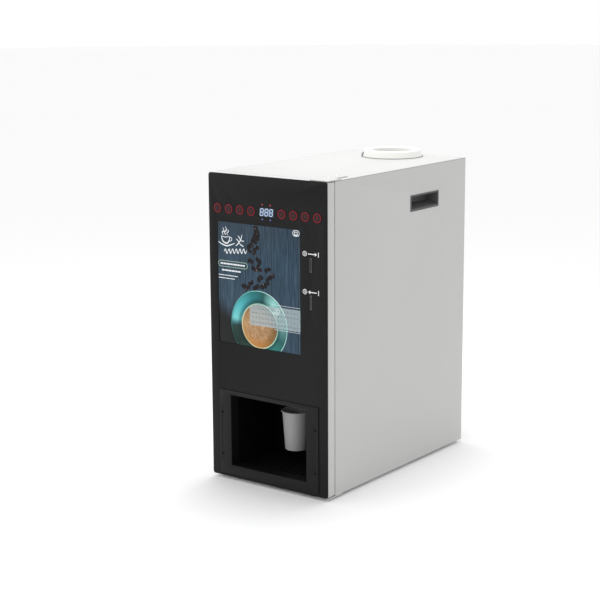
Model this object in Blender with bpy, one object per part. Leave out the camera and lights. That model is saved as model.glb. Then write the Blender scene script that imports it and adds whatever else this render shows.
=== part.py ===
"""Hot coffee vending machine: a tabletop cabinet with a hinged front door, a cup bay, a paper cup,
and the dispensing gear inside. Sizes are millimetres. x runs to the machine's right from its middle,
y back from the door's face, and z up from the floor; `place` turns such a point into the scene's
metres about the middle of the machine's footprint."""

import math

import bmesh
import bpy
from mathutils import Matrix, Vector

MM = 0.001
GAP = 0.3  # clearance between pieces that touch

# Cabinet
WIDTH, DEPTH, BODY_HEIGHT, FOOT = 340.0, 590.0, 730.0, 8.0
TOP = FOOT + BODY_HEIGHT
SHEET = 1.5
HALF = WIDTH / 2
INSIDE = HALF - SHEET - GAP  # half width between the side panels
LIP = 14.0  # width of the folded edge round the cabinet's mouth

# Door
DOOR = 28.0
SEAM = 3.0
MOUTH = DOOR + SEAM  # where the cabinet starts behind the door
FASCIA = 3.0
HINGE_X, HINGE_Y = HALF - 7.0, 14.0
PIN_RADIUS = 4.0
BAY_X, BAY_LOW, BAY_HIGH = 112.7, 36.6, 213.0
POSTER = (-145.0, 95.0, 337.0, 625.0)  # left, right, low, high
PLATE = (145.6, 15.3, 221.5)  # half width, low, high

# Controls
BUTTON_Z, BUTTON_RADIUS, BUTTON_TRAVEL = 656.4, 11.5, 1.5
BUTTON_X = (44.0, 77.1, 110.2, 143.4)
DISPLAY_Z, DISPLAY_W, DISPLAY_H = 656.8, 44.0, 22.0
COIN_X, COIN_SLOT_Z, COIN_RETURN_Z, COIN_SLIT = 125.3, 548.3, 462.8, 30.5

# Cup, its fork and the bay that they stand in
CUP_X, CUP_Y, CUP_BASE, CUP_HEIGHT = 2.5, 104.0, 74.4, 95.6
CUP_BASE_RADIUS, CUP_TOP_RADIUS, CUP_WALL = 26.5, 33.0, 0.8
FORK_LOW, FORK_HIGH = 162.4, 166.4
BAY_BACK = 176.5

# Top-side bottle seat and the tank below it
SEAT_X, SEAT_Y, SEAT_RADIUS = 2.0, 513.0, 76.0
TANK_RADIUS = 62.0

# Canisters
CANISTER_X = (-104.0, 0.0, 104.0)
CANISTER_W, CANISTER_Y, CANISTER_Z = 92.0, (168.0, 330.0), (440.0, 640.0)
AUGER_Z = 462.0

# Side handles
HANDLE_Y, HANDLE_Z = (338.4, 463.6), (631.0, 670.0)

for old in list(bpy.data.objects):
    bpy.data.objects.remove(old, do_unlink=True)


def place(x, y, z):
    return Vector((x, y - DEPTH / 2, z)) * MM


# --- Materials -------------------------------------------------------------------------------------

def material(name, hex_colour, roughness, metallic=0.0, alpha=1.0):
    channels = [int(hex_colour[i:i + 2], 16) / 255 for i in (1, 3, 5)]
    linear = [c / 12.92 if c <= 0.04045 else ((c + 0.055) / 1.055) ** 2.4 for c in channels]
    made = bpy.data.materials.new(name)
    made.use_nodes = True
    shader = made.node_tree.nodes["Principled BSDF"]
    shader.inputs["Base Color"].default_value = (*linear, 1.0)
    shader.inputs["Roughness"].default_value = roughness
    shader.inputs["Metallic"].default_value = metallic
    shader.inputs["Alpha"].default_value = alpha
    return made


WHITE_PAINT = material("powder_coat_white", "#dcdcda", 0.45)
BLACK_PANEL = material("black_panel", "#2b2b2c", 0.38)
BLACK_PLASTIC = material("black_plastic", "#1c1c1d", 0.5)
RED_RING = material("button_black_red", "#3a1a1a", 0.4)
SMOKED = material("smoked_lens", "#14181f", 0.15)
POSTER_FILM = material("poster_film", "#27414d", 0.25)
WHITE_PLASTIC = material("white_plastic", "#e8e8e4", 0.4)
GREY_PLASTIC = material("grey_plastic", "#85868a", 0.5)
PAPER = material("cup_paper", "#eeeeec", 0.75)
ZINC = material("zinc_steel", "#b4b6b8", 0.4, 1.0)
STAINLESS = material("stainless_steel", "#c6c8ca", 0.28, 1.0)
RUBBER = material("black_rubber", "#191919", 0.85)
CIRCUIT = material("circuit_board", "#1f5a35", 0.5)
CLEAR = material("clear_plastic", "#dfe6e8", 0.2, 0.0, 0.55)


# --- Shapes: each returns a bmesh in metres --------------------------------------------------------

def block(x, y, z):
    """A box between the pairs x, y and z."""
    shape = bmesh.new()
    bmesh.ops.create_cube(shape, size=1.0)
    low, high = place(x[0], y[0], z[0]), place(x[1], y[1], z[1])
    for vert in shape.verts:
        vert.co = Vector([(low[i] + high[i]) / 2 + vert.co[i] * (high[i] - low[i]) for i in range(3)])
    return shape


def rod(centre, radius, length, axis="z", end_radius=None, sides=24):
    """A cylinder or cone that starts at centre and runs length along axis."""
    shape = bmesh.new()
    bmesh.ops.create_cone(shape, cap_ends=True, segments=sides, radius1=radius * MM,
                          radius2=(radius if end_radius is None else end_radius) * MM, depth=length * MM)
    turn = {"z": Matrix.Identity(4), "y": Matrix.Rotation(-math.pi / 2, 4, "X"),
            "x": Matrix.Rotation(math.pi / 2, 4, "Y")}[axis]
    shift = Matrix.Translation(place(*centre)) @ turn @ Matrix.Translation((0, 0, length * MM / 2))
    shape.transform(shift)
    return shape


def prism(outline, plane, low, high):
    """An outline of (a, b) points in the plane 'xz', 'yz' or 'xy', extruded from low to high."""
    def corner(a, b, c):
        return {"xz": place(a, c, b), "yz": place(c, a, b), "xy": place(a, b, c)}[plane]

    shape = bmesh.new()
    face = shape.faces.new([shape.verts.new(corner(a, b, low)) for a, b in outline])
    grown = bmesh.ops.extrude_face_region(shape, geom=[face])["geom"]
    shift = corner(0, 0, high) - corner(0, 0, low)
    bmesh.ops.translate(shape, vec=shift, verts=[v for v in grown if isinstance(v, bmesh.types.BMVert)])
    bmesh.ops.recalc_face_normals(shape, faces=shape.faces)
    return shape


def turned(profile, centre, sides=32):
    """A closed profile of (radius, z) points turned about the upright line through centre (x, y)."""
    shape = bmesh.new()
    rings = []
    for step in range(sides):
        angle = 2 * math.pi * step / sides
        cos, sin = math.cos(angle), math.sin(angle)
        rings.append([shape.verts.new(place(centre[0] + r * cos, centre[1] + r * sin, z))
                      for r, z in profile])
    for step in range(sides):
        a, b = rings[step], rings[(step + 1) % sides]
        for i in range(len(profile)):
            j = (i + 1) % len(profile)
            if profile[i][0] or profile[j][0]:
                shape.faces.new((a[i], a[j], b[j], b[i]))
    bmesh.ops.remove_doubles(shape, verts=shape.verts, dist=1e-7)
    bmesh.ops.recalc_face_normals(shape, faces=shape.faces)
    return shape


def rounded(x, z, radius, steps=4):
    """The outline of a rectangle with round corners, as points for prism."""
    points = []
    corners = ((x[1], z[1], 0), (x[0], z[1], 90), (x[0], z[0], 180), (x[1], z[0], 270))
    for cx, cz, start in corners:
        cx -= radius if start in (0, 270) else -radius
        cz -= radius if start in (0, 90) else -radius
        for step in range(steps + 1):
            angle = math.radians(start + 90 * step / steps)
            points.append((cx + radius * math.cos(angle), cz + radius * math.sin(angle)))
    return points


def joined(shapes):
    """Shapes that don't touch, as one, so that a single Boolean cuts them all."""
    first, *others = shapes
    for other in others:
        mesh = bpy.data.meshes.new("joined")
        other.to_mesh(mesh)
        first.from_mesh(mesh)
        bpy.data.meshes.remove(mesh)
        other.free()
    return first


def as_object(name, shape, origin=(0, 0, 0)):
    """A mesh object with its origin at a point in metres."""
    shape.transform(Matrix.Translation(-Vector(origin)))
    mesh = bpy.data.meshes.new(name)
    shape.to_mesh(mesh)
    shape.free()
    made = bpy.data.objects.new(name, mesh)
    made.location = origin
    bpy.context.scene.collection.objects.link(made)
    return made


def piece(name, finish, shape, add=(), cut=(), after=(), origin=(0, 0, 0)):
    """One sub-part: a shape with others added, then cut away, then added after the cuts."""
    made = as_object(name, shape, origin)
    made.data.materials.append(finish)
    for kind, others in (("UNION", add), ("DIFFERENCE", cut), ("UNION", after)):
        for number, other in enumerate(others):
            helper = as_object(f"{name}_{kind.lower()}_{number}", other)
            helper.hide_render = True
            helper.display_type = "WIRE"
            boolean = made.modifiers.new(f"{kind.title()} {number}", "BOOLEAN")
            boolean.operation = kind
            boolean.solver = "EXACT"
            boolean.object = helper
    made.data.shade_smooth()
    made.data.set_sharp_from_angle(angle=math.radians(35))
    return made


# --- Cabinet ---------------------------------------------------------------------------------------

LOCK_Y, LOCK_Z, PLUG_RADIUS = 60.0, 600.0, 5.0
LIP_X = HALF - LIP - GAP
WALL_TOP = TOP - SHEET - GAP
DECK = FOOT + SHEET + GAP  # where the inside pieces stand


def side_wall(side):
    """A side of the wrap and its folded front lip, and the hand-hole to cut from it."""
    outer = side * HALF
    wall = block(sorted((outer, side * (HALF - SHEET))), (MOUTH, DEPTH), (FOOT, WALL_TOP))
    lip = block(sorted((outer, side * (HALF - LIP))), (MOUTH, MOUTH + SHEET), (FOOT, WALL_TOP))
    hand_hole = block(sorted((side * (HALF + 5), side * (HALF - 5))),
                      (HANDLE_Y[0] + 2.0, HANDLE_Y[1] - 2.0), (HANDLE_Z[0] + 2.0, HANDLE_Z[1] - 2.0))
    return [wall, lip], hand_hole


# The cabinet is one steel sheet bent into a U: left side, floor and right side.
left, left_hole = side_wall(-1)
right, right_hole = side_wall(1)
piece("cabinet_wrap", WHITE_PAINT, block((-HALF, HALF), (MOUTH, DEPTH), (FOOT, FOOT + SHEET)),
      add=left + right + [block((-LIP_X, LIP_X), (MOUTH, MOUTH + SHEET), (FOOT, FOOT + LIP))],
      cut=[left_hole, right_hole, rod((-HALF - 5, LOCK_Y, LOCK_Z), PLUG_RADIUS + GAP, 12, "x")])

SEAT_HOLE = 55.0
piece("top_cover", WHITE_PAINT, block((-HALF, HALF), (MOUTH, DEPTH), (TOP - SHEET, TOP)),
      add=[block((-LIP_X, LIP_X), (MOUTH, MOUTH + SHEET), (TOP - LIP, TOP))],
      cut=[rod((SEAT_X, SEAT_Y, TOP - 10), SEAT_HOLE, 20, sides=32)])

FAN_X, FAN_Z, FAN_RADIUS = -122.0, 640.0, 37.0
INLET = ((92.0, 140.0), (44.0, 72.0))  # x and z of the power inlet's cut-out
LOUVRE_X, LOUVRE_LOW, LOUVRE_HIGH, LOUVRE_PITCH = 120.0, 150.0, 5.0, 16.0
louvres = [block((-LOUVRE_X, LOUVRE_X), (DEPTH - 10, DEPTH + 10), (z, z + LOUVRE_HIGH))
           for z in [LOUVRE_LOW + LOUVRE_PITCH * row for row in range(8)]]
piece("back_panel", WHITE_PAINT,
      block((-INSIDE, INSIDE), (DEPTH - SHEET, DEPTH), (DECK, WALL_TOP)),
      cut=[joined(louvres + [rod((FAN_X, DEPTH - 10, FAN_Z), FAN_RADIUS, 20, "y"),
                             block(INLET[0], (DEPTH - 10, DEPTH + 10), INLET[1])])])

FEET = [(x, y) for y in (80.0, 540.0) for x in (-118.0, 118.0)]
for number, (x, y) in enumerate(FEET, 1):
    piece(f"foot_{number}", RUBBER, rod((x, y, 0), 12.0, FOOT - GAP, end_radius=14.0, sides=20))


def handle_pocket(name, side):
    """A black moulded grip: a flange on the panel's face and a pocket whose floor rises inwards."""
    face, deep = side * (HALF + 1.0), side * (HALF - 34.0)
    flange = block(sorted((face, side * (HALF + GAP))), HANDLE_Y, HANDLE_Z)
    body = block(sorted((side * (HALF + 0.6), deep)),
                 (HANDLE_Y[0] + 2.4, HANDLE_Y[1] - 2.4), (HANDLE_Z[0] + 2.4, HANDLE_Z[1] - 2.4))
    mouth, back = side * (HALF + 5), side * (HALF - 32.4)
    hollow = prism([(mouth, HANDLE_Z[0] + 4.0), (back, HANDLE_Z[0] + 14.0), (back, HANDLE_Z[1] - 4.0),
                    (mouth, HANDLE_Z[1] - 4.0)], "xz", HANDLE_Y[0] + 4.0, HANDLE_Y[1] - 4.0)
    return piece(name, BLACK_PLASTIC, flange, add=[body], cut=[hollow])


handle_pocket("handle_pocket_left", -1)
handle_pocket("handle_pocket_right", 1)

# The bottle seat: a coned ring on the cover whose neck reaches into the tank below.
piece("bottle_seat_ring", WHITE_PLASTIC,
      turned([(SEAT_RADIUS, TOP + GAP), (SEAT_RADIUS, TOP + 2.5), (70.5, TOP + 15.5), (68.0, TOP + 17.5),
              (54.0, TOP + 17.5), (51.0, TOP + 15.0), (46.5, TOP - 22), (49.5, TOP - 22), (53.0, TOP + GAP)],
             (SEAT_X, SEAT_Y), sides=40))
TANK_TOP, TANK_LOW = TOP - SHEET - 1.0, 566.0
piece("water_tank", CLEAR,
      turned([(0, TANK_LOW), (TANK_RADIUS, TANK_LOW), (TANK_RADIUS, TANK_TOP), (TANK_RADIUS - 2.5, TANK_TOP),
              (TANK_RADIUS - 2.5, TANK_LOW + 2.5), (0, TANK_LOW + 2.5)], (SEAT_X, SEAT_Y)))

# --- Cup bay ---------------------------------------------------------------------------------------

LINER = 1.5
FLOOR = 20.0
TUBE_RADIUS = 40.0
bay = block((-BAY_X - 0.8 - LINER, BAY_X + 0.8 + LINER), (MOUTH + SHEET + 0.5, BAY_BACK + LINER),
            (FLOOR - LINER, BAY_HIGH + 2.0))
piece("cup_bay_liner", BLACK_PLASTIC, bay,
      cut=[block((-BAY_X - 0.8, BAY_X + 0.8), (MOUTH - 5, BAY_BACK), (FLOOR, BAY_HIGH + 0.5)),
           rod((CUP_X, CUP_Y, BAY_HIGH - 10), 38.0, 30, sides=32),
           block((-26, 26), (150, 162), (BAY_HIGH - 10, BAY_HIGH + 10))])

TRAY_X, TRAY_Y, TRAY_HIGH = BAY_X, (MOUTH + SHEET + 1.0, BAY_BACK - 1.0), 33.0
piece("drip_tray", BLACK_PLASTIC, block((-TRAY_X, TRAY_X), TRAY_Y, (FLOOR + GAP, TRAY_HIGH)),
      cut=[block((2 - TRAY_X, TRAY_X - 2), (TRAY_Y[0] + 2, TRAY_Y[1] - 2), (FLOOR + 2, TRAY_HIGH + 5))])
slots = [block((-98, 98), (y, y + 5.0), (TRAY_HIGH - 5, TRAY_HIGH + 10))
         for y in [TRAY_Y[0] + 10 + 11 * row for row in range(12)]]
piece("drip_grille", BLACK_PLASTIC,
      block((1 - TRAY_X, TRAY_X - 1), (TRAY_Y[0] + 1, TRAY_Y[1] - 1), (TRAY_HIGH + GAP, TRAY_HIGH + 2.6)),
      cut=[joined(slots)])


def cup_radius(z):
    return CUP_BASE_RADIUS + (CUP_TOP_RADIUS - CUP_BASE_RADIUS) * (z - CUP_BASE) / CUP_HEIGHT


RIM_ROLL = 3.0
CUP_TOP = CUP_BASE + CUP_HEIGHT
CUP_FOOT = CUP_BASE + 5.0  # the recessed bottom
cup_profile = [(0, CUP_FOOT), (CUP_BASE_RADIUS - 2, CUP_FOOT), (CUP_BASE_RADIUS - 1.2, CUP_BASE),
               (CUP_BASE_RADIUS, CUP_BASE), (cup_radius(CUP_TOP - 2.6), CUP_TOP - 2.6),
               (CUP_TOP_RADIUS + 2.0, CUP_TOP - 2.4), (CUP_TOP_RADIUS + RIM_ROLL, CUP_TOP - 1.2),
               (CUP_TOP_RADIUS + 1.4, CUP_TOP), (CUP_TOP_RADIUS - CUP_WALL, CUP_TOP - 0.6),
               (cup_radius(CUP_FOOT + 1) - CUP_WALL, CUP_FOOT + 1), (0, CUP_FOOT + 1)]
piece("paper_cup", PAPER, turned(cup_profile, (CUP_X, CUP_Y), sides=40), origin=place(CUP_X, CUP_Y, CUP_BASE))

# The fork is a U open to the front: half a ring behind the cup and two short straight arms beside it.
FORK_IN = cup_radius((FORK_LOW + FORK_HIGH) / 2) + 0.6
FORK_OUT = FORK_IN + 7.0
FORK_FRONT = CUP_Y - 4.0
half_turn = [math.radians(12 * step) for step in range(16)]
outer_arc = [(CUP_X + FORK_OUT * math.cos(a), CUP_Y + FORK_OUT * math.sin(a)) for a in half_turn]
inner_arc = [(CUP_X - FORK_IN * math.cos(a), CUP_Y + FORK_IN * math.sin(a)) for a in half_turn]
fork_outline = ([(CUP_X + FORK_OUT, FORK_FRONT)] + outer_arc
                + [(CUP_X - FORK_OUT, FORK_FRONT), (CUP_X - FORK_IN, FORK_FRONT)]
                + inner_arc + [(CUP_X + FORK_IN, FORK_FRONT)])
stem = block((CUP_X - 14, CUP_X + 14), (CUP_Y + FORK_IN + 2, BAY_BACK - GAP),
             (FORK_LOW + 0.5, FORK_HIGH - 0.5))
foot_plate = block((CUP_X - 20, CUP_X + 20), (BAY_BACK - 3.0, BAY_BACK - GAP),
                   (FORK_LOW - 16, FORK_HIGH + 16))
piece("cup_fork", BLACK_PLASTIC, prism(fork_outline, "xy", FORK_LOW, FORK_HIGH), add=[stem, foot_plate])

# --- Door ------------------------------------------------------------------------------------------

door_x = (-HALF, HALF)
door_z = (FOOT, TOP)
hinge = place(HINGE_X, HINGE_Y, 0)
bay_hole = ((-BAY_X, BAY_X), (BAY_LOW, BAY_HIGH))
button_places = [side * x for side in (-1, 1) for x in BUTTON_X]
button_places.sort()

display_hole = ((-DISPLAY_W / 2, DISPLAY_W / 2), (DISPLAY_Z - DISPLAY_H / 2, DISPLAY_Z + DISPLAY_H / 2))
coin_holes = [block((COIN_X - 3.0, COIN_X + 3.0), (-5, 5), (z - COIN_SLIT / 2 - 1.5, z + COIN_SLIT / 2 + 1.5))
              for z in (COIN_SLOT_Z, COIN_RETURN_Z)]
CORNER = 6.0
bay_window = block((-BAY_X - GAP, BAY_X + GAP), (-5, 5), (BAY_LOW - GAP, BAY_HIGH + GAP))
windows = [block(display_hole[0], (-5, 5), display_hole[1]), block(POSTER[:2], (-5, 5), POSTER[2:]),
           bay_window]
button_holes = [rod((x, -5, BUTTON_Z), BUTTON_RADIUS + 0.5, 12, "y") for x in button_places]
piece("door_fascia", BLACK_PANEL, prism(rounded(door_x, door_z, CORNER), "xz", 0, FASCIA),
      cut=[joined(button_holes + windows + coin_holes)], origin=hinge)

PAN_FRONT = FASCIA + GAP
CAM_X = -HALF + 19.0
# The catch is a strip welded to the pan's front sheet that reaches behind the lock's cam.
catch_z = (LOCK_Z + 9, LOCK_Z + 20)
catch = [block((-144, -142), (PAN_FRONT + 0.5, LOCK_Y + 14), catch_z),
         block((CAM_X - 1, -142), (LOCK_Y + 12, LOCK_Y + 14), catch_z)]
window = ((POSTER[0] + 3, POSTER[1] - 3), (POSTER[2] + 3, POSTER[3] - 3))
piece("door_pan", WHITE_PAINT, prism(rounded(door_x, door_z, CORNER), "xz", PAN_FRONT, DOOR),
      cut=[block((SHEET - HALF, HALF - SHEET), (PAN_FRONT + SHEET, DOOR - SHEET),
                 (FOOT + SHEET, TOP - SHEET)),
           block((LIP - HALF, HALF - LIP), (PAN_FRONT + 8, DOOR + 5), (FOOT + LIP, TOP - LIP)),
           block((-BAY_X - 2, BAY_X + 2), (0, DOOR + 5), (BAY_LOW - 2, BAY_HIGH + 2)),
           block(window[0], (0, 10), window[1]),
           block((-156, 156), (0, 10), (BUTTON_Z - 16, BUTTON_Z + 16)),
           block((COIN_X - 8, COIN_X + 8), (0, 10), (COIN_RETURN_Z - 22, COIN_SLOT_Z + 22)),
           rod((HINGE_X, HINGE_Y, 0), PIN_RADIUS + 0.5, TOP + 10)], origin=hinge, after=catch)

piece("lower_plate", BLACK_PANEL, block((-PLATE[0], PLATE[0]), (-1.5 - GAP, -GAP), PLATE[1:]),
      add=[block((-BAY_X, BAY_X), (-1.0, DOOR), (BAY_LOW, BAY_HIGH))],
      cut=[block((-BAY_X + 1.5, BAY_X - 1.5), (-5, DOOR + 5), (BAY_LOW + 1.5, BAY_HIGH - 1.5))], origin=hinge)
piece("poster_panel", POSTER_FILM,
      block((POSTER[0] + GAP, POSTER[1] - GAP), (0.8, 2.8), (POSTER[2] + GAP, POSTER[3] - GAP)), origin=hinge)
piece("display_window", SMOKED, block((display_hole[0][0] + GAP, display_hole[0][1] - GAP), (0.4, 2.8),
                                      (display_hole[1][0] + GAP, display_hole[1][1] - GAP)), origin=hinge)
BOARD_Y = 12.0
piece("button_board", CIRCUIT, block((-155, 155), (BOARD_Y, BOARD_Y + 1.6), (BUTTON_Z - 15, BUTTON_Z + 15)),
      add=[block((-26, 26), (3.4, BOARD_Y + 0.5), (DISPLAY_Z - 12.0, DISPLAY_Z + 12.0))], origin=hinge)
STEM_END = BOARD_Y - GAP - BUTTON_TRAVEL
for number, x in enumerate(button_places, 1):
    centre = (x, -1.0, BUTTON_Z)
    piece(f"button_{number}", RED_RING, rod(centre, BUTTON_RADIUS, 6.0, "y"),
          add=[rod((x, 4.0, BUTTON_Z), 3.5, STEM_END - 4.0, "y", sides=16)], origin=place(*centre))


def coin_bezel(name, z):
    """A grey framed slit, flush with the fascia, wide enough for a coin."""
    half = COIN_SLIT / 2
    return piece(name, GREY_PLASTIC,
                 block((COIN_X - 2.6, COIN_X + 2.6), (-0.8, 4.6), (z - half - 1.2, z + half + 1.2)),
                 cut=[block((COIN_X - 1.3, COIN_X + 1.3), (-5, 10), (z - half + 0.6, z + half - 0.6))],
                 origin=hinge)


coin_bezel("coin_slot_bezel", COIN_SLOT_Z)
coin_bezel("coin_return_bezel", COIN_RETURN_Z)

ACCEPTOR_X = (99.0, 151.0)
BOX_Y, BOX_Z = (16.0, 72.0), (262.0, 432.0)
chute = [block((COIN_X - 1.5, COIN_X + 1.5), (0, 20), (z - 15, z + 15)) for z in (COIN_SLOT_Z, COIN_RETURN_Z)]
piece("coin_acceptor", GREY_PLASTIC, block(ACCEPTOR_X, (5.1, 64.0), (438.0, 574.0)),
      add=[block((ACCEPTOR_X[0] + 8, ACCEPTOR_X[1] - 8), (60, 72.0), (470.0, 540.0)),
           block(ACCEPTOR_X, (5.1, 6.6), (BOX_Z[0] - 2, 440)),
           block(ACCEPTOR_X, (5.1, BOX_Y[1]), (BOX_Z[0] - GAP - 1.5, BOX_Z[0] - GAP))],
      cut=chute + [block((COIN_X - 2, COIN_X + 2), (24, 54), (430, 470))], origin=hinge)
piece("cash_box", ZINC, block(ACCEPTOR_X, BOX_Y, BOX_Z),
      cut=[block((ACCEPTOR_X[0] + 1.5, ACCEPTOR_X[1] - 1.5), (BOX_Y[0] + 1.5, BOX_Y[1] - 1.5),
                 (BOX_Z[0] + 1.5, BOX_Z[1] + 10))], origin=hinge)
SEAL_OUT, SEAL_IN = 12.0, 18.0
piece("door_seal", RUBBER,
      block((SEAL_OUT - HALF, HALF - SEAL_OUT), (DOOR + GAP, MOUTH - GAP), (FOOT + SEAL_OUT, TOP - SEAL_OUT)),
      cut=[block((SEAL_IN - HALF, HALF - SEAL_IN), (DOOR - 5, MOUTH + 5), (FOOT + SEAL_IN, TOP - SEAL_IN))],
      origin=hinge)


def hinge_plate(name, low, high, pin_low, pin_high, reach):
    """A flat plate on the cabinet with a pin that stands into the door."""
    plate = block((reach[0], HALF), (3.0, 55.0), (low, high))
    tab = block((reach[0], reach[1]), (50.0, reach[2]), (low, high))
    pin = rod((HINGE_X, HINGE_Y, pin_low), PIN_RADIUS, pin_high - pin_low, sides=20)
    return piece(name, WHITE_PAINT, plate, add=[tab, pin])


hinge_plate("hinge_top", TOP + GAP, TOP + GAP + 2.0, TOP - 12.0, TOP + 1.0, (121.0, 153.0, 104.0))
hinge_plate("hinge_bottom", FOOT - GAP - 2.0, FOOT - GAP, FOOT - 1.0, FOOT + 12.0, (136.0, 153.0, 70.0))

# --- Lock: a key barrel in the left side, whose cam stands behind the door's catch when locked ------

piece("lock_cam", ZINC, block((CAM_X, CAM_X + 2), (LOCK_Y - 21, LOCK_Y + 6), (LOCK_Z - 6, LOCK_Z + 6)),
      add=[rod((-HALF - 1.0, LOCK_Y, LOCK_Z), PLUG_RADIUS, CAM_X + 4 + HALF, "x", sides=16)],
      origin=place(CAM_X, LOCK_Y, LOCK_Z))

# --- Dispensing gear -------------------------------------------------------------------------------

CHASSIS_Y = 344.0
SHELF_Z = CANISTER_Z[0] - GAP
piece("chassis_plate", ZINC, block((-INSIDE, INSIDE), (CHASSIS_Y, CHASSIS_Y + SHEET), (DECK, TOP - 30)),
      add=[block((-INSIDE, INSIDE), (CANISTER_Y[0] + 16, CHASSIS_Y + 1), (SHELF_Z - 1.5, SHELF_Z))],
      cut=[rod((x, CHASSIS_Y - 10, AUGER_Z), 7.0, 20, "y", sides=20) for x in CANISTER_X]
      + [block((-60, 60), (CHASSIS_Y - 10, CHASSIS_Y + 10), (60, 200)),
         block((-HALF, 36 - HALF), (CHASSIS_Y - 10, CHASSIS_Y + 10), (HANDLE_Z[0] - 4, HANDLE_Z[1] + 4)),
         block((HALF - 36, HALF), (CHASSIS_Y - 10, CHASSIS_Y + 10), (HANDLE_Z[0] - 4, HANDLE_Z[1] + 4))])


def canister(number, x):
    """A powder canister with a spout at its front and the auger along its floor."""
    half = CANISTER_W / 2
    front, back = CANISTER_Y
    low, high = CANISTER_Z
    body = block((x - half, x + half), (front, back), (low, high))
    hollow = block((x - half + 2, x + half - 2), (front + 2, back - 2), (AUGER_Z, high + 5))
    trough = rod((x, front - 30, AUGER_Z), 17.0, back - front + 28, "y")
    spout = rod((x, front - 18, AUGER_Z), 19.0, 20, "y")
    outlet = rod((x, front - 10, AUGER_Z - 40), 6.0, 40, sides=16)
    drive = rod((x, back - 10, AUGER_Z), 5.0, 20, "y", sides=16)
    piece(f"powder_canister_{number}", CLEAR, body, add=[spout], cut=[hollow, trough, outlet, drive])
    auger(number, x, front - 14, back)


def auger(number, x, front, back):
    """A twisted two-flighted screw with a round shaft out of the canister's back."""
    flight, web, pitch = 14.0, 2.6, 64.0
    steps = 30
    section = [(flight, 0), (flight * 0.4, web), (-flight * 0.4, web), (-flight, 0),
               (-flight * 0.4, -web), (flight * 0.4, -web)]
    shape = bmesh.new()
    rings = []
    length = back - 6 - front
    for step in range(steps + 1):
        y = front + length * step / steps
        angle = 2 * math.pi * (y - front) / pitch
        cos, sin = math.cos(angle), math.sin(angle)
        rings.append([shape.verts.new(place(x + a * cos - b * sin, y, AUGER_Z + a * sin + b * cos))
                      for a, b in section])
    for first, second in zip(rings, rings[1:]):
        for i in range(len(section)):
            j = (i + 1) % len(section)
            shape.faces.new((first[i], first[j], second[j], second[i]))
    shape.faces.new(rings[0])
    shape.faces.new(rings[-1])
    bmesh.ops.recalc_face_normals(shape, faces=shape.faces)
    piece(f"auger_{number}", WHITE_PLASTIC, shape,
          add=[rod((x, back - 12, AUGER_Z), 4.0, CHASSIS_Y + 4 - back + 12, "y", sides=16)],
          origin=place(x, back, AUGER_Z))


for number, x in enumerate(CANISTER_X, 1):
    canister(number, x)

LID_X = CANISTER_X[-1] + CANISTER_W / 2
LID_LOW, LID_HIGH = CANISTER_Z[1] - 8, CANISTER_Z[1] + 2
piece("canister_lid", WHITE_PLASTIC,
      block((-LID_X - 2, LID_X + 2), (CANISTER_Y[0] - 2, CANISTER_Y[1] + 2), (LID_LOW, LID_HIGH)),
      cut=[block((-LID_X - GAP, LID_X + GAP), (CANISTER_Y[0] - GAP, CANISTER_Y[1] + GAP),
                 (LID_LOW - 5, CANISTER_Z[1] + GAP))], origin=place(0, CANISTER_Y[1], CANISTER_Z[1]))

MOTOR_Y = CHASSIS_Y + SHEET + GAP
motors = [rod((x, MOTOR_Y, AUGER_Z), 21.0, 40, "y") for x in CANISTER_X]
gearboxes = [block((x - 24, x + 24), (MOTOR_Y, MOTOR_Y + 14), (AUGER_Z - 24, AUGER_Z + 24))
             for x in CANISTER_X]
sockets = [rod((x, MOTOR_Y - 10, AUGER_Z), 4.6, 16, "y", sides=16) for x in CANISTER_X]
piece("auger_motors", ZINC, block((-140, 140), (MOTOR_Y, MOTOR_Y + 3), (AUGER_Z - 30, AUGER_Z - 10)),
      add=motors + gearboxes, cut=sockets)

# Powder falls from the spouts into a wide funnel whose throat opens into the bowl that the whipper stirs.
BOWL_CENTRE = (0.0, 188.0)
BOWL_LOW, BOWL_HIGH = 292.0, 352.0
WHIP_Z = BOWL_LOW + 24
FUNNEL_X, FUNNEL_Y, FUNNEL_Z, FUNNEL_HIGH = 128.0, (146.0, 230.0), 400.0, 424.0
THROAT = 43.0


def funnel(inset, rise):
    """The funnel's outline across the machine, drawn in by inset and carried up by rise."""
    low = BOWL_HIGH - 6 + inset
    return [(-THROAT + inset, low), (THROAT - inset, low), (FUNNEL_X - inset, FUNNEL_Z),
            (FUNNEL_X - inset, FUNNEL_HIGH + rise), (-FUNNEL_X + inset, FUNNEL_HIGH + rise),
            (-FUNNEL_X + inset, FUNNEL_Z)]


bowl_hollow = turned([(0, BOWL_LOW + 2.5), (14, BOWL_LOW + 2.5), (38.2, BOWL_HIGH + 0.5),
                      (0, BOWL_HIGH + 0.5)], BOWL_CENTRE)
piece("mixing_bowl", WHITE_PLASTIC,
      turned([(0, BOWL_LOW), (16, BOWL_LOW), (40.5, BOWL_HIGH), (0, BOWL_HIGH)], BOWL_CENTRE),
      add=[prism(funnel(0, 0), "xz", *FUNNEL_Y)],
      cut=[bowl_hollow, prism(funnel(2.2, 10), "xz", FUNNEL_Y[0] + 2, FUNNEL_Y[1] - 2),
           rod((0, BOWL_CENTRE[1] + 5, WHIP_Z), 5.0, 60, "y", sides=16)])
piece("whipper_impeller", WHITE_PLASTIC,
      rod((0, BOWL_CENTRE[1] - 4, WHIP_Z), 9.0, 5.0, "y", end_radius=14.0, sides=20),
      add=[rod((0, BOWL_CENTRE[1], WHIP_Z), 3.5, 54, "y", sides=16)],
      cut=[block((-2, 2), (BOWL_CENTRE[1] - 10, BOWL_CENTRE[1] - 1), (WHIP_Z - 20, WHIP_Z + 20))],
      origin=place(0, BOWL_CENTRE[1], WHIP_Z))
WHIP_MOTOR_Y = BOWL_CENTRE[1] + 48.0
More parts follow.
